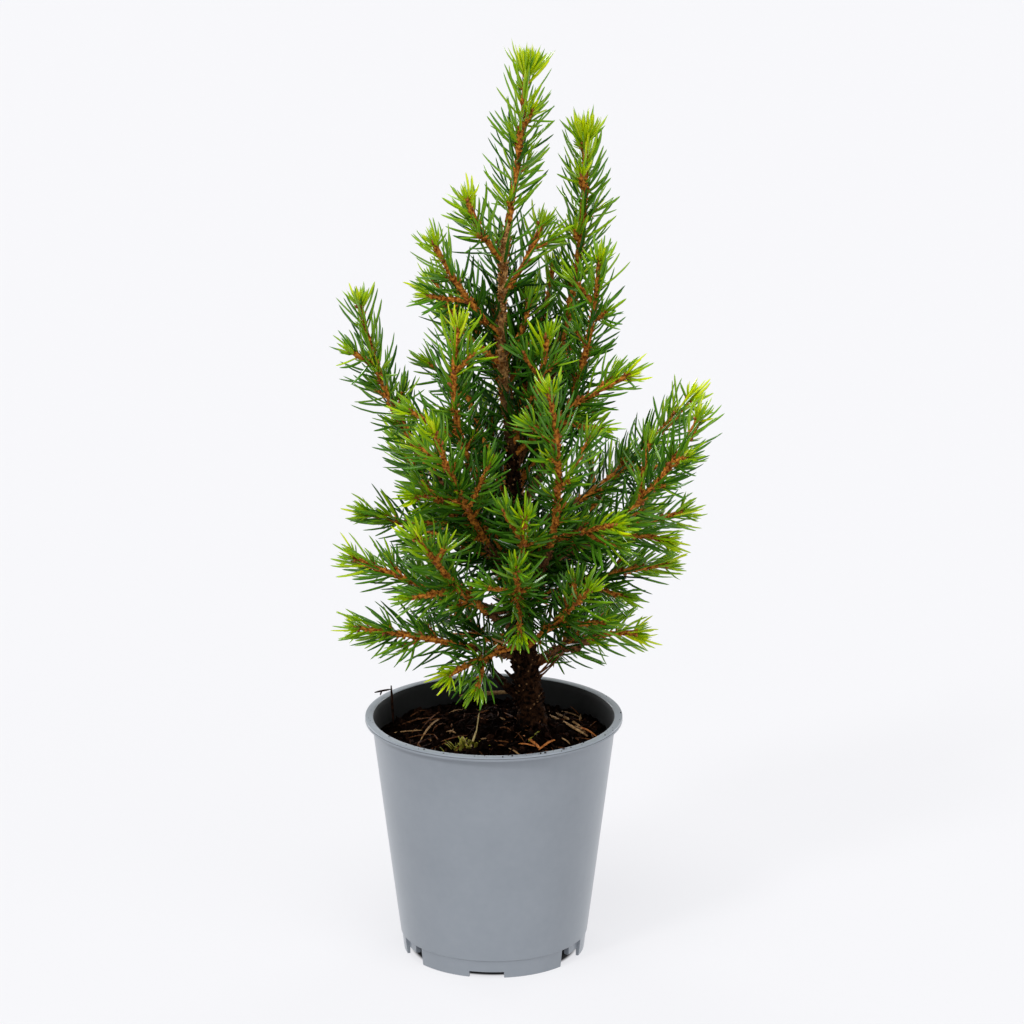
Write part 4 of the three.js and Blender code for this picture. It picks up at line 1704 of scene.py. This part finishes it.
@dataclass
class Trunk:
    """The trunk with its flare, its ridged bark, its pegs and the dead twigs at its foot."""

    sides: int = 40
    step: float = 0.7
    sunk: float = 4.0
    # Height and how much of the solid's radius the bark has there.
    slim: tuple[Pair, ...] = (
        (84, 0.80),
        (94, 0.95),
        (104, 1.0),
        (150, 0.84),
        (196, 0.74),
        (262, 0.78),
    )
    peg_rows: int = 1700
    strand_sides: int = 7
    seed: int = 7
    # Height, heading, reach, rise and root radius of each dead twig; the first two are stubs.
    dead_twigs: tuple[Row, ...] = (
        (90, 168, 14.5, 12.5, 2.2),
        (96, 178, 8, 6, 0.8),
        (93, 205, 8, 3, 0.5),
        (101, 150, 9, 10, 0.4),
        (95, 80, 12, 13, 0.5),
        (96, -60, 9, 12, 0.34),
    )
    # The same of each hanging dead needle or straw on the right of the foot.
    dead_needles: tuple[Row, ...] = (
        (101, -6, 10, 10, 0.5),
        (98, -18, 12, 14, 0.42),
        (97, 6, 14, 14, 0.36),
        (102, -32, 9, 9, 0.34),
        (99, 12, 15, 12, 0.32),
    )

    def radius(self, z: float, turn: float) -> float:
        """Works out the bark's distance from the trunk's middle.

        Args:
            z: The height.
            turn: The turn round the trunk, in radians.

        Returns:
            The distance.
        """
        flare = max(0.0, 1 - (z - FOOT_Z) / 8)
        lobe = 1 + 0.16 * min(flare, 1.0) * math.cos(3 * turn + 0.6)
        base = look_up(TRUNK_RADIUS, z) * lobe * look_up(self.slim, z)
        spot = Vector((math.cos(turn) * 2.2, math.sin(turn) * 2.2, z * 0.30))
        ridges = noise.fractal(spot, 1.0, 2.0, 4)
        crust = noise.noise(Vector((math.cos(turn) * 6, math.sin(turn) * 6, z * 0.9)))
        age = min(1.0, max(0.15, (200 - z) / 90))
        rough = 1 + 0.7 * min(1.0, max(0.0, (122 - z) / 20))
        return base * (1 + age * (0.14 * ridges + 0.10 * rough * crust))

    def build(self) -> None:
        """Makes the bark and sets the pegs and dead twigs on it."""
        heights = np.arange(FOOT_Z - self.sunk, TRUNK_TOP + 1.4, self.step)
        rings = np.empty((len(heights), self.sides, 3))
        for row, z in enumerate(heights):
            middle = trunk_point(z)
            for k in range(self.sides):
                turn = 2 * math.pi * k / self.sides
                rings[row, k] = middle + self.radius(z, turn) * level_way(turn)
        bark, scales = Batch(), Batch()
        bark.tube(rings)
        self.add_pegs(bark, scales)
        random = np.random.default_rng(self.seed + 1)
        for row in self.dead_twigs:
            self.add_strand(bark, row, random, -0.16)
        piece = bark.piece("trunk_bark", TrunkFinish().material())
        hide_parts("trunk")
        scales.piece("trunk_scales", BARK_SCALE.material())
        strands = Batch()
        for row in self.dead_needles:
            self.add_strand(strands, row, random, -0.3)
        strands.piece("dead_needles", FIBRE_RUST.material())

    def add_pegs(self, bark: Batch, scales: Batch) -> None:
        """Stamps the pegs that fallen needles left, in a rising spiral.

        Args:
            bark: Where most of them go.
            scales: Where the paler ones go.
        """
        random = np.random.default_rng(self.seed)
        peg = Crown.peg_template()
        plain, pale = [], []
        for i in range(self.peg_rows):
            z = FOOT_Z + 2 + (TRUNK_TOP - FOOT_Z - 4) * (i + random.random()) / self.peg_rows
            turn = math.radians(GOLDEN_ANGLE) * i + 0.5 * random.normal()
            outward = level_way(turn)
            way = unit(outward * 0.9 + np.array([0, 0, 0.7]) + 0.2 * random.normal(size=3))
            side = unit(np.cross(way, outward + np.array([0, 0, 1.0])))
            other = np.cross(way, side)
            root = trunk_point(z) + outward * self.radius(z, turn) * 0.93
            old = 1 + (0.0 if i % 4 == 0 else 0.6) * min(1.0, max(0.0, (120 - z) / 20))
            wide = (0.45 + 0.35 * random.random()) * old
            long = (0.5 + 0.7 * random.random()) * old
            shape = peg.points
            (pale if i % 4 == 0 else plain).append(
                root
                + wide * (shape[:, 0:1] * side + shape[:, 1:2] * other)
                + long * shape[:, 2:3] * way
            )
        bark.stamp(peg, np.array(plain))
        scales.stamp(peg, np.array(pale))

    def add_strand(
        self, batch: Batch, row: Sequence[float], random: np.random.Generator, sag: float
    ) -> None:
        """Adds one dead twig or needle that leaves the trunk.

        Args:
            batch: Where it goes.
            row: Its height, heading, reach, rise and root radius.
            random: The source of its roughness.
            sag: How far its middle stands above its chord, against its reach.
        """
        height, heading, reach, rise, radius = row
        root = trunk_point(height)
        tip = root + level_way(math.radians(heading)) * reach + np.array([0, 0, rise])
        bend = (root + tip) / 2 + np.array([0, 0, sag * reach])
        path = Path.bent(root, bend, tip, 12)
        shares = np.linspace(0, 1, 12)
        rough = 0.82 + 0.36 * random.random((12, self.strand_sides))
        size = radius * (1.2 - shares * 0.75)[:, None] * rough
        batch.tube(path.rings(shares, size, self.strand_sides))


# ---- Pot ----


@dataclass
class Pot:
    """The tapered cup with its lip, its foot ring in three parts and a lug in each notch."""

    rim_radius: float = 45.0
    rim_inner_radius: float = 42.2
    rim_height: float = 1.5
    height: float = 86.0
    body_top_radius: float = 42.7
    body_foot_radius: float = 32.2
    wall: float = 0.9
    foot_height: float = 6.5
    foot_inset: float = 0.3
    foot_wall: float = 1.3
    floor: float = 1.0
    foot_front_angle: float = -92.0
    notch_angle: float = 22.0
    slot_angle: float = 22.0
    slot_shift: float = -2.5
    slot_height: float = 2.2
    lug_angle: float = 13.0
    lug_radii: Pair = (29.4, 31.3)
    lug_bottom: float = 2.5
    steps: int = 180
    sharp_angle: float = 32.0

    def body_radius(self, z: float) -> float:
        """Returns the outside radius of the body at a height."""
        ends = (self.body_foot_radius, self.body_top_radius)
        return between(ends, z / (self.height - self.rim_height))

    def profile(self) -> list[Pair]:
        """Returns the outline that is spun, from the axis below the floor to the axis above it."""
        top, low, wall = self.height, self.foot_height, self.wall
        lip, foot = top - self.rim_height, self.body_radius(low)
        rim, inner, body = self.rim_radius, self.rim_inner_radius, self.body_radius
        return [
            (0.0, low),
            (foot - 0.22, low),
            (foot, low + 0.22),
            (body(30), 30),
            (body(60), 60),
            (body(lip - 1.2), lip - 1.2),
            (self.body_top_radius, lip - 0.25),
            (self.body_top_radius + 0.12, lip),
            (rim - 0.22, lip),
            (rim - 0.04, lip + 0.08),
            (rim, lip + 0.22),
            (rim, lip + 0.84),
            (rim - 0.1, lip + 0.92),
            (rim, lip + 1.0),
            (rim - 0.02, top - 0.2),
            (rim - 0.1, top - 0.06),
            (rim - 0.26, top),
            (inner + 0.3, top),
            (inner + 0.09, top - 0.05),
            (inner, top - 0.22),
            (body(lip) - wall, lip - 1),
            (body(60) - wall, 60),
            (body(30) - wall, 30),
            (foot - wall, low + self.floor + 0.8),
            (foot - wall - 1, low + self.floor),
            (0.0, low + self.floor),
        ]

    @staticmethod
    def ring_block(corners: Sequence[Pair], turns: Sequence[float]) -> Shape:
        """Spins a section from one angle to the next, in stages.

        Args:
            corners: The section's corners as radius and height.
            turns: The angles in degrees that the stages end at.

        Returns:
            The closed block.
        """
        shape = bmesh.new()
        section = shape.faces.new([shape.verts.new((radius, 0, z)) for radius, z in corners])
        start_turn = Matrix.Rotation(math.radians(turns[0]), 3, "Z")
        bmesh.ops.rotate(shape, verts=shape.verts, cent=(0, 0, 0), matrix=start_turn)
        geom = [section, *section.edges, *section.verts]
        for start, end in zip(turns, turns[1:]):
            geom = bmesh.ops.spin(
                shape,
                geom=geom,
                cent=(0, 0, 0),
                axis=(0, 0, 1),
                angle=math.radians(end - start),
                steps=max(1, round((end - start) / 2.5)),
                use_duplicate=False,
            )["geom_last"]
        bmesh.ops.recalc_face_normals(shape, faces=shape.faces)
        return shape

    def foot_segment(self, middle: float) -> Shape:
        """Makes a third of the foot ring, with the low slot near its middle.

        Args:
            middle: The angle of its middle in degrees.

        Returns:
            The closed block.
        """
        outer = self.body_foot_radius - self.foot_inset
        inner = self.body_foot_radius - self.foot_wall
        join = self.foot_height + 0.3
        top = self.body_radius(self.foot_height) - self.foot_inset
        slope = (top - outer) / join
        half = 60 - self.notch_angle / 2
        low, high = self.slot_shift - self.slot_angle / 2, self.slot_shift + self.slot_angle / 2
        corners = [
            (inner, 0),
            (outer - 0.12, 0),
            (outer + 0.15 * slope, 0.15),
            (top, join),
            (inner, join),
        ]
        turns = [-half, low - 0.12, low, high, high + 0.12, half]
        shape = self.ring_block(corners, [middle + turn for turn in turns])
        for vertex in shape.verts:
            turn = math.degrees(math.atan2(vertex.co.y, vertex.co.x)) - middle
            turn = (turn + 180) % 360 - 180
            radius = math.hypot(vertex.co.x, vertex.co.y)
            if low - 0.05 < turn < high + 0.05 and vertex.co.z < 0.5:
                out = slope * self.slot_height if radius > inner + 0.5 else 0
                vertex.co.x *= 1 + out / radius
                vertex.co.y *= 1 + out / radius
                vertex.co.z += self.slot_height
        return shape

    def lug(self, third: int) -> Shape:
        """Makes the lug of a notch, joined to the notch's end that is further from the front.

        Args:
            third: Which third of the foot ring the notch follows.

        Returns:
            The closed block.
        """
        notch = self.foot_front_angle + 120 * third + 60
        side = -1 if third == 2 else 1
        middle = notch + side * ((self.notch_angle - self.lug_angle) / 2 + 1)
        inner, outer = self.lug_radii
        bottom, join = self.lug_bottom, self.foot_height + 0.3
        corners = [
            (inner, bottom + 0.3),
            (inner + 0.3, bottom),
            (outer - 0.4, bottom),
            (outer, bottom + 0.4),
            (outer, join),
            (inner, join),
        ]
        half = self.lug_angle / 2
        return self.ring_block(corners, [middle - half, middle + half])

    def build(self) -> None:
        """Makes the pot as one piece, grey outside and charcoal inside."""
        whole = spin_outline(self.profile(), self.steps)
        bmesh.ops.recalc_face_normals(whole, faces=whole.faces)
        inner_limit = self.height - 0.5
        for face in whole.faces:
            centre = face.calc_center_median()
            inward = centre.x * face.normal.x + centre.y * face.normal.y < 0
            level = centre.z > self.foot_height + 0.3
            if (inward or face.normal.z > 0.5) and level and centre.z < inner_limit:
                face.material_index = 1
        blocks = [self.foot_segment(self.foot_front_angle + 120 * third) for third in range(3)]
        blocks += [self.lug(third) for third in range(3)]
        for block in blocks:
            spare = bpy.data.meshes.new("block")
            block.to_mesh(spare)
            block.free()
            whole.from_mesh(spare)
            bpy.data.meshes.remove(spare)
        piece = bmesh_piece("pot_shell", whole, [POT_OUTSIDE.material(), POT_INSIDE.material()])
        piece.data.set_sharp_from_angle(angle=math.radians(self.sharp_angle))
        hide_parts("pot")


# ---- Soil ----


@dataclass(frozen=True)
class Fibre:
    """One straw or fibre that lies on the bed: its two ends, its arch and its radius."""

    start: Row
    end: Row
    arch: float
    radius: float
    flat: float = 0.6


@dataclass
class SoilBed:
    """Dark compost that rises to the trunk, with crumbs, fibres, straws and a tuft of moss."""

    radius: float = 41.0
    edge_height: float = 77.0
    mound: float = 6.2
    bottom: float = 66.0
    rings: int = 84
    steps: int = 240
    crumbs: int = 2600
    clods: int = 190
    grits: int = 26
    rim_specks: int = 46
    fibres: int = 210
    fibre_sides: int = 6
    moss_blades: int = 34
    moss_place: Pair = (-10.4, -17.4)
    clear_of_trunk: float = 5.0
    seed: int = 31
    tan_straws: tuple[Fibre, ...] = (
        Fibre((16.9, 11.8), (32.9, -4.9), 0.5, 0.8, 0.5),
        Fibre((19.5, 18.4), (30.9, 3.1), 0.6, 0.6),
        Fibre((-25.6, -5.2), (-18.9, 12), 1.6, 0.42),
        Fibre((-17, 19.5), (-8.7, 22.3), 1.1, 0.3),
        Fibre((0.4, 2.1), (3.9, -1.6), 0.3, 0.55),
        Fibre((-12.6, 37.6, 79.8), (6.4, 32.9, 83.0), 0.2, 1.0, 0.8),
        Fibre((24, 24), (31, 17), 0.4, 0.35),
    )
    orange_straws: tuple[Fibre, ...] = (
        Fibre((10.4, -12.4), (16.2, -20.4), 0.4, 0.75, 0.45),
        Fibre((15.6, -20.6), (21.8, -13.6), 0.6, 0.6, 0.45),
        Fibre((8.6, -17.4), (14.4, -19.6), 0.3, 0.5, 0.45),
        Fibre((30, 2), (36, -4), 0.6, 0.45),
    )
    rust_fibres: tuple[Fibre, ...] = (
        Fibre((-32.4, 8.1), (-22.3, 17.3), 0.5, 0.34),
        Fibre((-25.3, 4.9), (-19.1, 24.9), 0.8, 0.36),
        Fibre((2.1, 11.3), (11.9, -5.2), 0.6, 0.38),
        Fibre((-30, 20), (-24, 28), 0.8, 0.3),
        Fibre((30, 20, 79), (27, 17, 83), 0.2, 0.3),
        Fibre((33, 6, 78.5), (36, 3, 82.5), 0.2, 0.3),
    )
    dark_fibres: tuple[Fibre, ...] = (
        Fibre((-35.6, 16, 77), (-36.3, 16, 91.2), 0.1, 0.5, 1.0),
        Fibre((-42.2, 16, 88.6), (-36.4, 16, 89.8), 0.1, 0.36, 1.0),
        Fibre((-40.2, 16, 87.6), (-39.6, 16, 89.2), 0.0, 0.3, 1.0),
        Fibre((24, 10), (27, 17), 1.2, 0.4),
    )

    def height(self, x: float, y: float) -> float:
        """Works out the level of the compost before its crumbs.

        Args:
            x: Millimetres to the right of the pot's axis.
            y: Millimetres behind it.

        Returns:
            The level.
        """
        foot = trunk_point(FOOT_Z)
        from_trunk = math.hypot(x - foot[0], y - foot[1])
        from_wall = max(0.0, self.radius - math.hypot(x, y))
        share = from_trunk / (from_trunk + from_wall + 1e-6)
        share = min(1.0, max(0.0, (share - 0.10) / 0.9))
        rise = self.mound * (1 - share * share * (3 - 2 * share))
        clods = 1.25 * noise.fractal(Vector((x * 0.16, y * 0.16, 3.1)), 1.0, 2.0, 3)
        lumps = 1.1 * abs(noise.noise(Vector((x * 0.38, y * 0.38, 5.3))))
        grains = 0.6 * noise.noise(Vector((x * 0.75, y * 0.75, 9.7)))
        grains += 0.4 * noise.noise(Vector((x * 1.6, y * 1.6, 1.7)))
        return self.edge_height + rise + clods + lumps - 0.3 + grains

    def build(self) -> None:
        """Makes the bed and everything that lies on it."""
        outline = [(self.radius * i / self.rings, self.edge_height) for i in range(self.rings + 1)]
        outline += [(self.radius - 1, self.bottom), (0.0, self.bottom)]
        shape = spin_outline(outline, self.steps)
        for vertex in shape.verts:
            if vertex.co.z > self.bottom + 1:
                vertex.co.z = self.height(vertex.co.x, vertex.co.y)
        bmesh.ops.recalc_face_normals(shape, faces=shape.faces)
        piece = bmesh_piece("soil_bed", shape, [SOIL_BLACK.material()])
        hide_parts("soil")
        self.scatter_crumbs()
        self.scatter_fibres()
        self.plant_moss()

    def scatter_crumbs(self) -> None:
        """Strews crumbs of compost over the bed, most of them nearly black."""
        random = np.random.default_rng(self.seed)
        shape = bmesh.new()
        bmesh.ops.create_icosphere(shape, subdivisions=2, radius=0.5)
        crumb = Template.from_bmesh(shape)
        kinds = (
            ("crumbs_dark", CRUMB_DARK, self.crumbs // 2, (0.6, 2.0), 0.18),
            ("clods_black", CRUMB_DARK, self.clods, (2.0, 4.6), 0.02),
            ("crumbs_brown", CRUMB_BROWN, self.crumbs // 5, (0.5, 2.4), 0.18),
            ("crumbs_pale", CRUMB_PALE, self.grits, (0.35, 0.7), 0.2),
        )
        foot = trunk_point(FOOT_Z)
        for name, finish, count, sizes, lift in kinds:
            batch, stamped = Batch(), []
            for _ in range(count):
                out = (self.radius - 0.6) * math.sqrt(random.random())
                turn = 2 * math.pi * random.random()
                x, y = out * math.cos(turn), out * math.sin(turn)
                if math.hypot(x - foot[0], y - foot[1]) < self.clear_of_trunk:
                    continue
                size = between(sizes, random.random() ** 2.4)
                if out + size / 2 > self.radius:
                    continue
                stretch = size * (0.6 + 0.8 * random.random(3))
                wobble = 1 + 0.22 * random.normal(size=(len(crumb.points), 1))
                axis = Vector(random.normal(size=3))
                turned = np.array(Matrix.Rotation(6.3 * random.random(), 3, axis))
                points = (crumb.points * wobble * stretch) @ turned.T
                stamped.append(points + np.array([x, y, self.height(x, y) + lift * size]))
            batch.stamp(crumb, np.array(stamped))
            batch.piece(name, finish.material(), smooth=False)
        self.dust_rim(crumb, random)

    def dust_rim(self, crumb: Template, random: np.random.Generator) -> None:
        """Leaves a few specks of compost on the pot's lip.

        Args:
            crumb: The shape of a speck.
            random: The source of their places.
        """
        batch, stamped = Batch(), []
        for _ in range(self.rim_specks):
            turn = -math.pi / 2 + 1.0 * random.normal()
            out = 42.6 + 2.1 * random.random()
            size = 0.2 + 0.55 * random.random() ** 2.5
            points = crumb.points * size * (0.7 + 0.6 * random.random(3))
            place = np.array([out * math.cos(turn), out * math.sin(turn), 86 + 0.22 * size])
            stamped.append(points + place)
        batch.stamp(crumb, np.array(stamped))
        batch.piece("lip_specks", CRUMB_BROWN.material(), smooth=False)

    def lay(self, batch: Batch, fibre: Fibre) -> None:
        """Lays one fibre on the bed, or between two places in space.

        Args:
            batch: Where it goes.
            fibre: The fibre.
        """
        ends = []
        for place in (fibre.start, fibre.end):
            x, y = place[0], place[1]
            level = self.height(x, y) + 0.35 + fibre.radius if len(place) == 2 else place[2]
            ends.append(np.array([x, y, level]))
        bend = (ends[0] + ends[1]) / 2 + np.array([0.06, 0.09, 1]) * 2 * fibre.arch
        path = Path.bent(ends[0], bend, ends[1], 12)
        shares = np.linspace(0, 1, 10)
        size = fibre.radius * (1 - 0.55 * np.abs(2 * shares - 1) ** 3)
        batch.tube(path.rings(shares, size[:, None], self.fibre_sides, fibre.flat))

    def scatter_fibres(self) -> None:
        """Lays fibres, straws and dead needles over the bed."""
        random = np.random.default_rng(self.seed + 1)
        dark, rust, tan, orange = Batch(), Batch(), Batch(), Batch()
        for i in range(self.fibres):
            out = (self.radius - 4) * math.sqrt(random.random())
            turn, way = 2 * math.pi * random.random(2)
            long = 3 + 8 * random.random() ** 1.5
            start = (out * math.cos(turn), out * math.sin(turn))
            end = (start[0] + long * math.cos(way), start[1] + long * math.sin(way))
            arch, radius = 0.1 + 0.7 * random.random() ** 2, 0.14 + 0.2 * random.random()
            if math.hypot(*end) < self.radius - 1.5:
                batch = tan if i % 14 == 0 else (rust if i % 5 < 2 else dark)
                self.lay(batch, Fibre(start, end, arch, radius, 1.0))
        for batch, fibres in (
            (tan, self.tan_straws),
            (orange, self.orange_straws),
            (rust, self.rust_fibres),
            (dark, self.dark_fibres),
        ):
            for fibre in fibres:
                self.lay(batch, fibre)
        for name, batch, finish in (
            ("fibres_dark", dark, FIBRE_DARK),
            ("fibres_rust", rust, FIBRE_RUST),
            ("straws_tan", tan, STRAW),
            ("straws_orange", orange, STRAW_ORANGE),
        ):
            batch.piece(name, finish.material())

    def plant_moss(self) -> None:
        """Plants a small tuft of moss near the front of the bed, with a dry leaf blade in it."""
        random = np.random.default_rng(self.seed + 2)
        moss, blades = Batch(), Batch()
        for _ in range(self.moss_blades):
            x, y = self.moss_place + random.normal(size=2) * np.array([2.5, 1.1])
            turn = 2 * math.pi * random.random()
            long = 1.4 + 4.0 * random.random() ** 1.6
            level = self.height(x, y)
            end = (
                x + long * 0.8 * math.cos(turn),
                y + long * 0.8 * math.sin(turn),
                level + long * (0.4 + 0.7 * random.random()),
            )
            radius = 0.3 + 0.4 * random.random()
            self.lay(moss, Fibre((x, y, level - 0.3), end, 0.3, radius, 0.35))
        self.lay(moss, Fibre((12.1, -16.8), (16.4, -8.4), 0.7, 0.34))
        root = (-8.4, -17.0, 77.6)
        for end, radius in (((-5.9, -15.5, 85.6), 1.3), ((-10.5, -16, 83.2), 1.0)):
            self.lay(blades, Fibre(root, end, 0.5, radius, 0.3))
        self.lay(blades, Fibre((-6.1, -15.6, 84.2), (-5.0, -14.2, 91.6), 0.3, 0.5, 0.5))
        moss.piece("moss_tuft", MOSS.material())
        blades.piece("leaf_blades", LEAF_BLADE.material())


# ---- Studio ----


@dataclass(frozen=True)
class SoftSun:
    """A wide, distant soft light: where it stands, its angular width and its strength."""

    name: str
    azimuth: float
    elevation: float
    width: float
    strength: float


@dataclass
class Studio:
    """A pale floor, soft light all round and the camera."""

    lens: float = 152.92
    sensor: float = 36.0
    distance: float = 1.5
    pitch: float = 16.555
    target: Triple = (6.349, 0.0, 159.85)
    floor_color: Color = (0.12, 0.12, 0.12)
    floor_roughness: float = 0.9
    floor_size: float = 12.0
    floor_glow: float = 0.735
    floor_tint: Row = (0.985, 0.985, 1.02, 1)
    room_color: Row = (0.985, 0.992, 1.0, 1)
    room_height: float = 0.5
    horizon: float = 1.0
    zenith: float = 0.40
    # Metres from the axis over which the painted shadow under the foot gives way to the glow.
    foot_shadow_reach: Pair = (0.0282, 0.0300)
    suns: tuple[SoftSun, ...] = (
        SoftSun("top_sun", 262, 76, 25, 2.2),
        SoftSun("key_sun", 232, 42, 10, 1.3),
        SoftSun("fill_sun", 312, 34, 50, 0.85),
        SoftSun("left_edge_sun", 127, 12, 30, 2.0),
        SoftSun("right_edge_sun", 53, 12, 30, 1.7),
    )

    def build(self) -> None:
        """Makes the floor, the lights and the camera."""
        shape = bmesh.new()
        bmesh.ops.create_grid(shape, x_segments=4, y_segments=4, size=self.floor_size)
        mesh = bpy.data.meshes.new("floor")
        shape.to_mesh(mesh)
        shape.free()
        mesh.materials.append(self.floor_material())
        floor = bpy.data.objects.new("floor", mesh)
        bpy.context.scene.collection.objects.link(floor)
        self.light_room()
        self.set_camera()

    def floor_material(self) -> Material:
        """Makes the white floor, which glows faintly but for a painted shadow where the foot covers
        it.
        """
        material, shader = new_material("floor_white")
        tree = material.node_tree
        # Painted shadow: the glow fades to black inside the foot's ring, under the pot.
        place = add_node(tree, "TexCoord", {})
        points = {0: place.outputs["Object"], 1: FRAME.metres(np.zeros(3))}
        away = add_node(tree, "VectorMath", points, operation="DISTANCE")
        reach = {"From Min": self.foot_shadow_reach[0], "From Max": self.foot_shadow_reach[1]}
        reach["Value"] = away.outputs["Value"]
        clear = add_node(tree, "MapRange", reach, interpolation_type="SMOOTHSTEP")
        ends = {0: clear.outputs[0], 6: (0, 0, 0, 1), 7: self.floor_tint}
        mix = add_node(tree, "Mix", ends, data_type="RGBA")
        coat(shader, (*self.floor_color, 1), self.floor_roughness, 0.0)
        wire(shader, {"Emission Color": mix.outputs[2], "Emission Strength": self.floor_glow})
        return material

    def light_room(self) -> None:
        """Sets a white room that is brightest at eye level, and the soft suns."""
        world = bpy.data.worlds.new("studio")
        bpy.context.scene.world = world
        world.use_nodes = True
        tree = world.node_tree
        place = add_node(tree, "TexCoord", {})
        split = add_node(tree, "SeparateXYZ", {0: place.outputs["Generated"]})
        levels = {"To Min": self.horizon, "To Max": self.zenith, "From Max": self.room_height}
        level = add_node(tree, "MapRange", {"Value": split.outputs["Z"], **levels})
        wire(tree.nodes["Background"], {"Color": self.room_color, "Strength": level.outputs[0]})
        for row in self.suns:
            turn, rise = math.radians(row.azimuth), math.radians(row.elevation)
            data = bpy.data.lights.new(row.name, "SUN")
            data.angle = math.radians(row.width)
            data.energy = row.strength
            lamp = bpy.data.objects.new(row.name, data)
            away = Vector((math.cos(turn), math.sin(turn), math.tan(rise)))
            lamp.location = away
            lamp.rotation_euler = (-away).to_track_quat("-Z", "Y").to_euler()
            bpy.context.scene.collection.objects.link(lamp)

    def set_camera(self) -> None:
        """Sets the camera and the plain view of its colours."""
        aim = Vector(FRAME.metres(np.array(self.target)))
        tilt = math.radians(self.pitch)
        back = Vector((0, -math.cos(tilt), math.sin(tilt)))
        data = bpy.data.cameras.new("camera")
        data.lens = self.lens
        data.sensor_width = self.sensor
        camera = bpy.data.objects.new("camera", data)
        camera.location = aim + back * self.distance
        camera.rotation_euler = (-back).to_track_quat("-Z", "Y").to_euler()
        scene = bpy.context.scene
        scene.collection.objects.link(camera)
        scene.camera = camera
        scene.view_settings.view_transform = "Standard"


def main() -> None:
    """Builds the studio and the plant."""
    logging.basicConfig(level=logging.INFO, format="%(name)s %(message)s")
    Studio().build()
    Pot().build()
    SoilBed().build()
    Trunk().build()
    Crown().build()


if __name__ == "__main__":
    main()
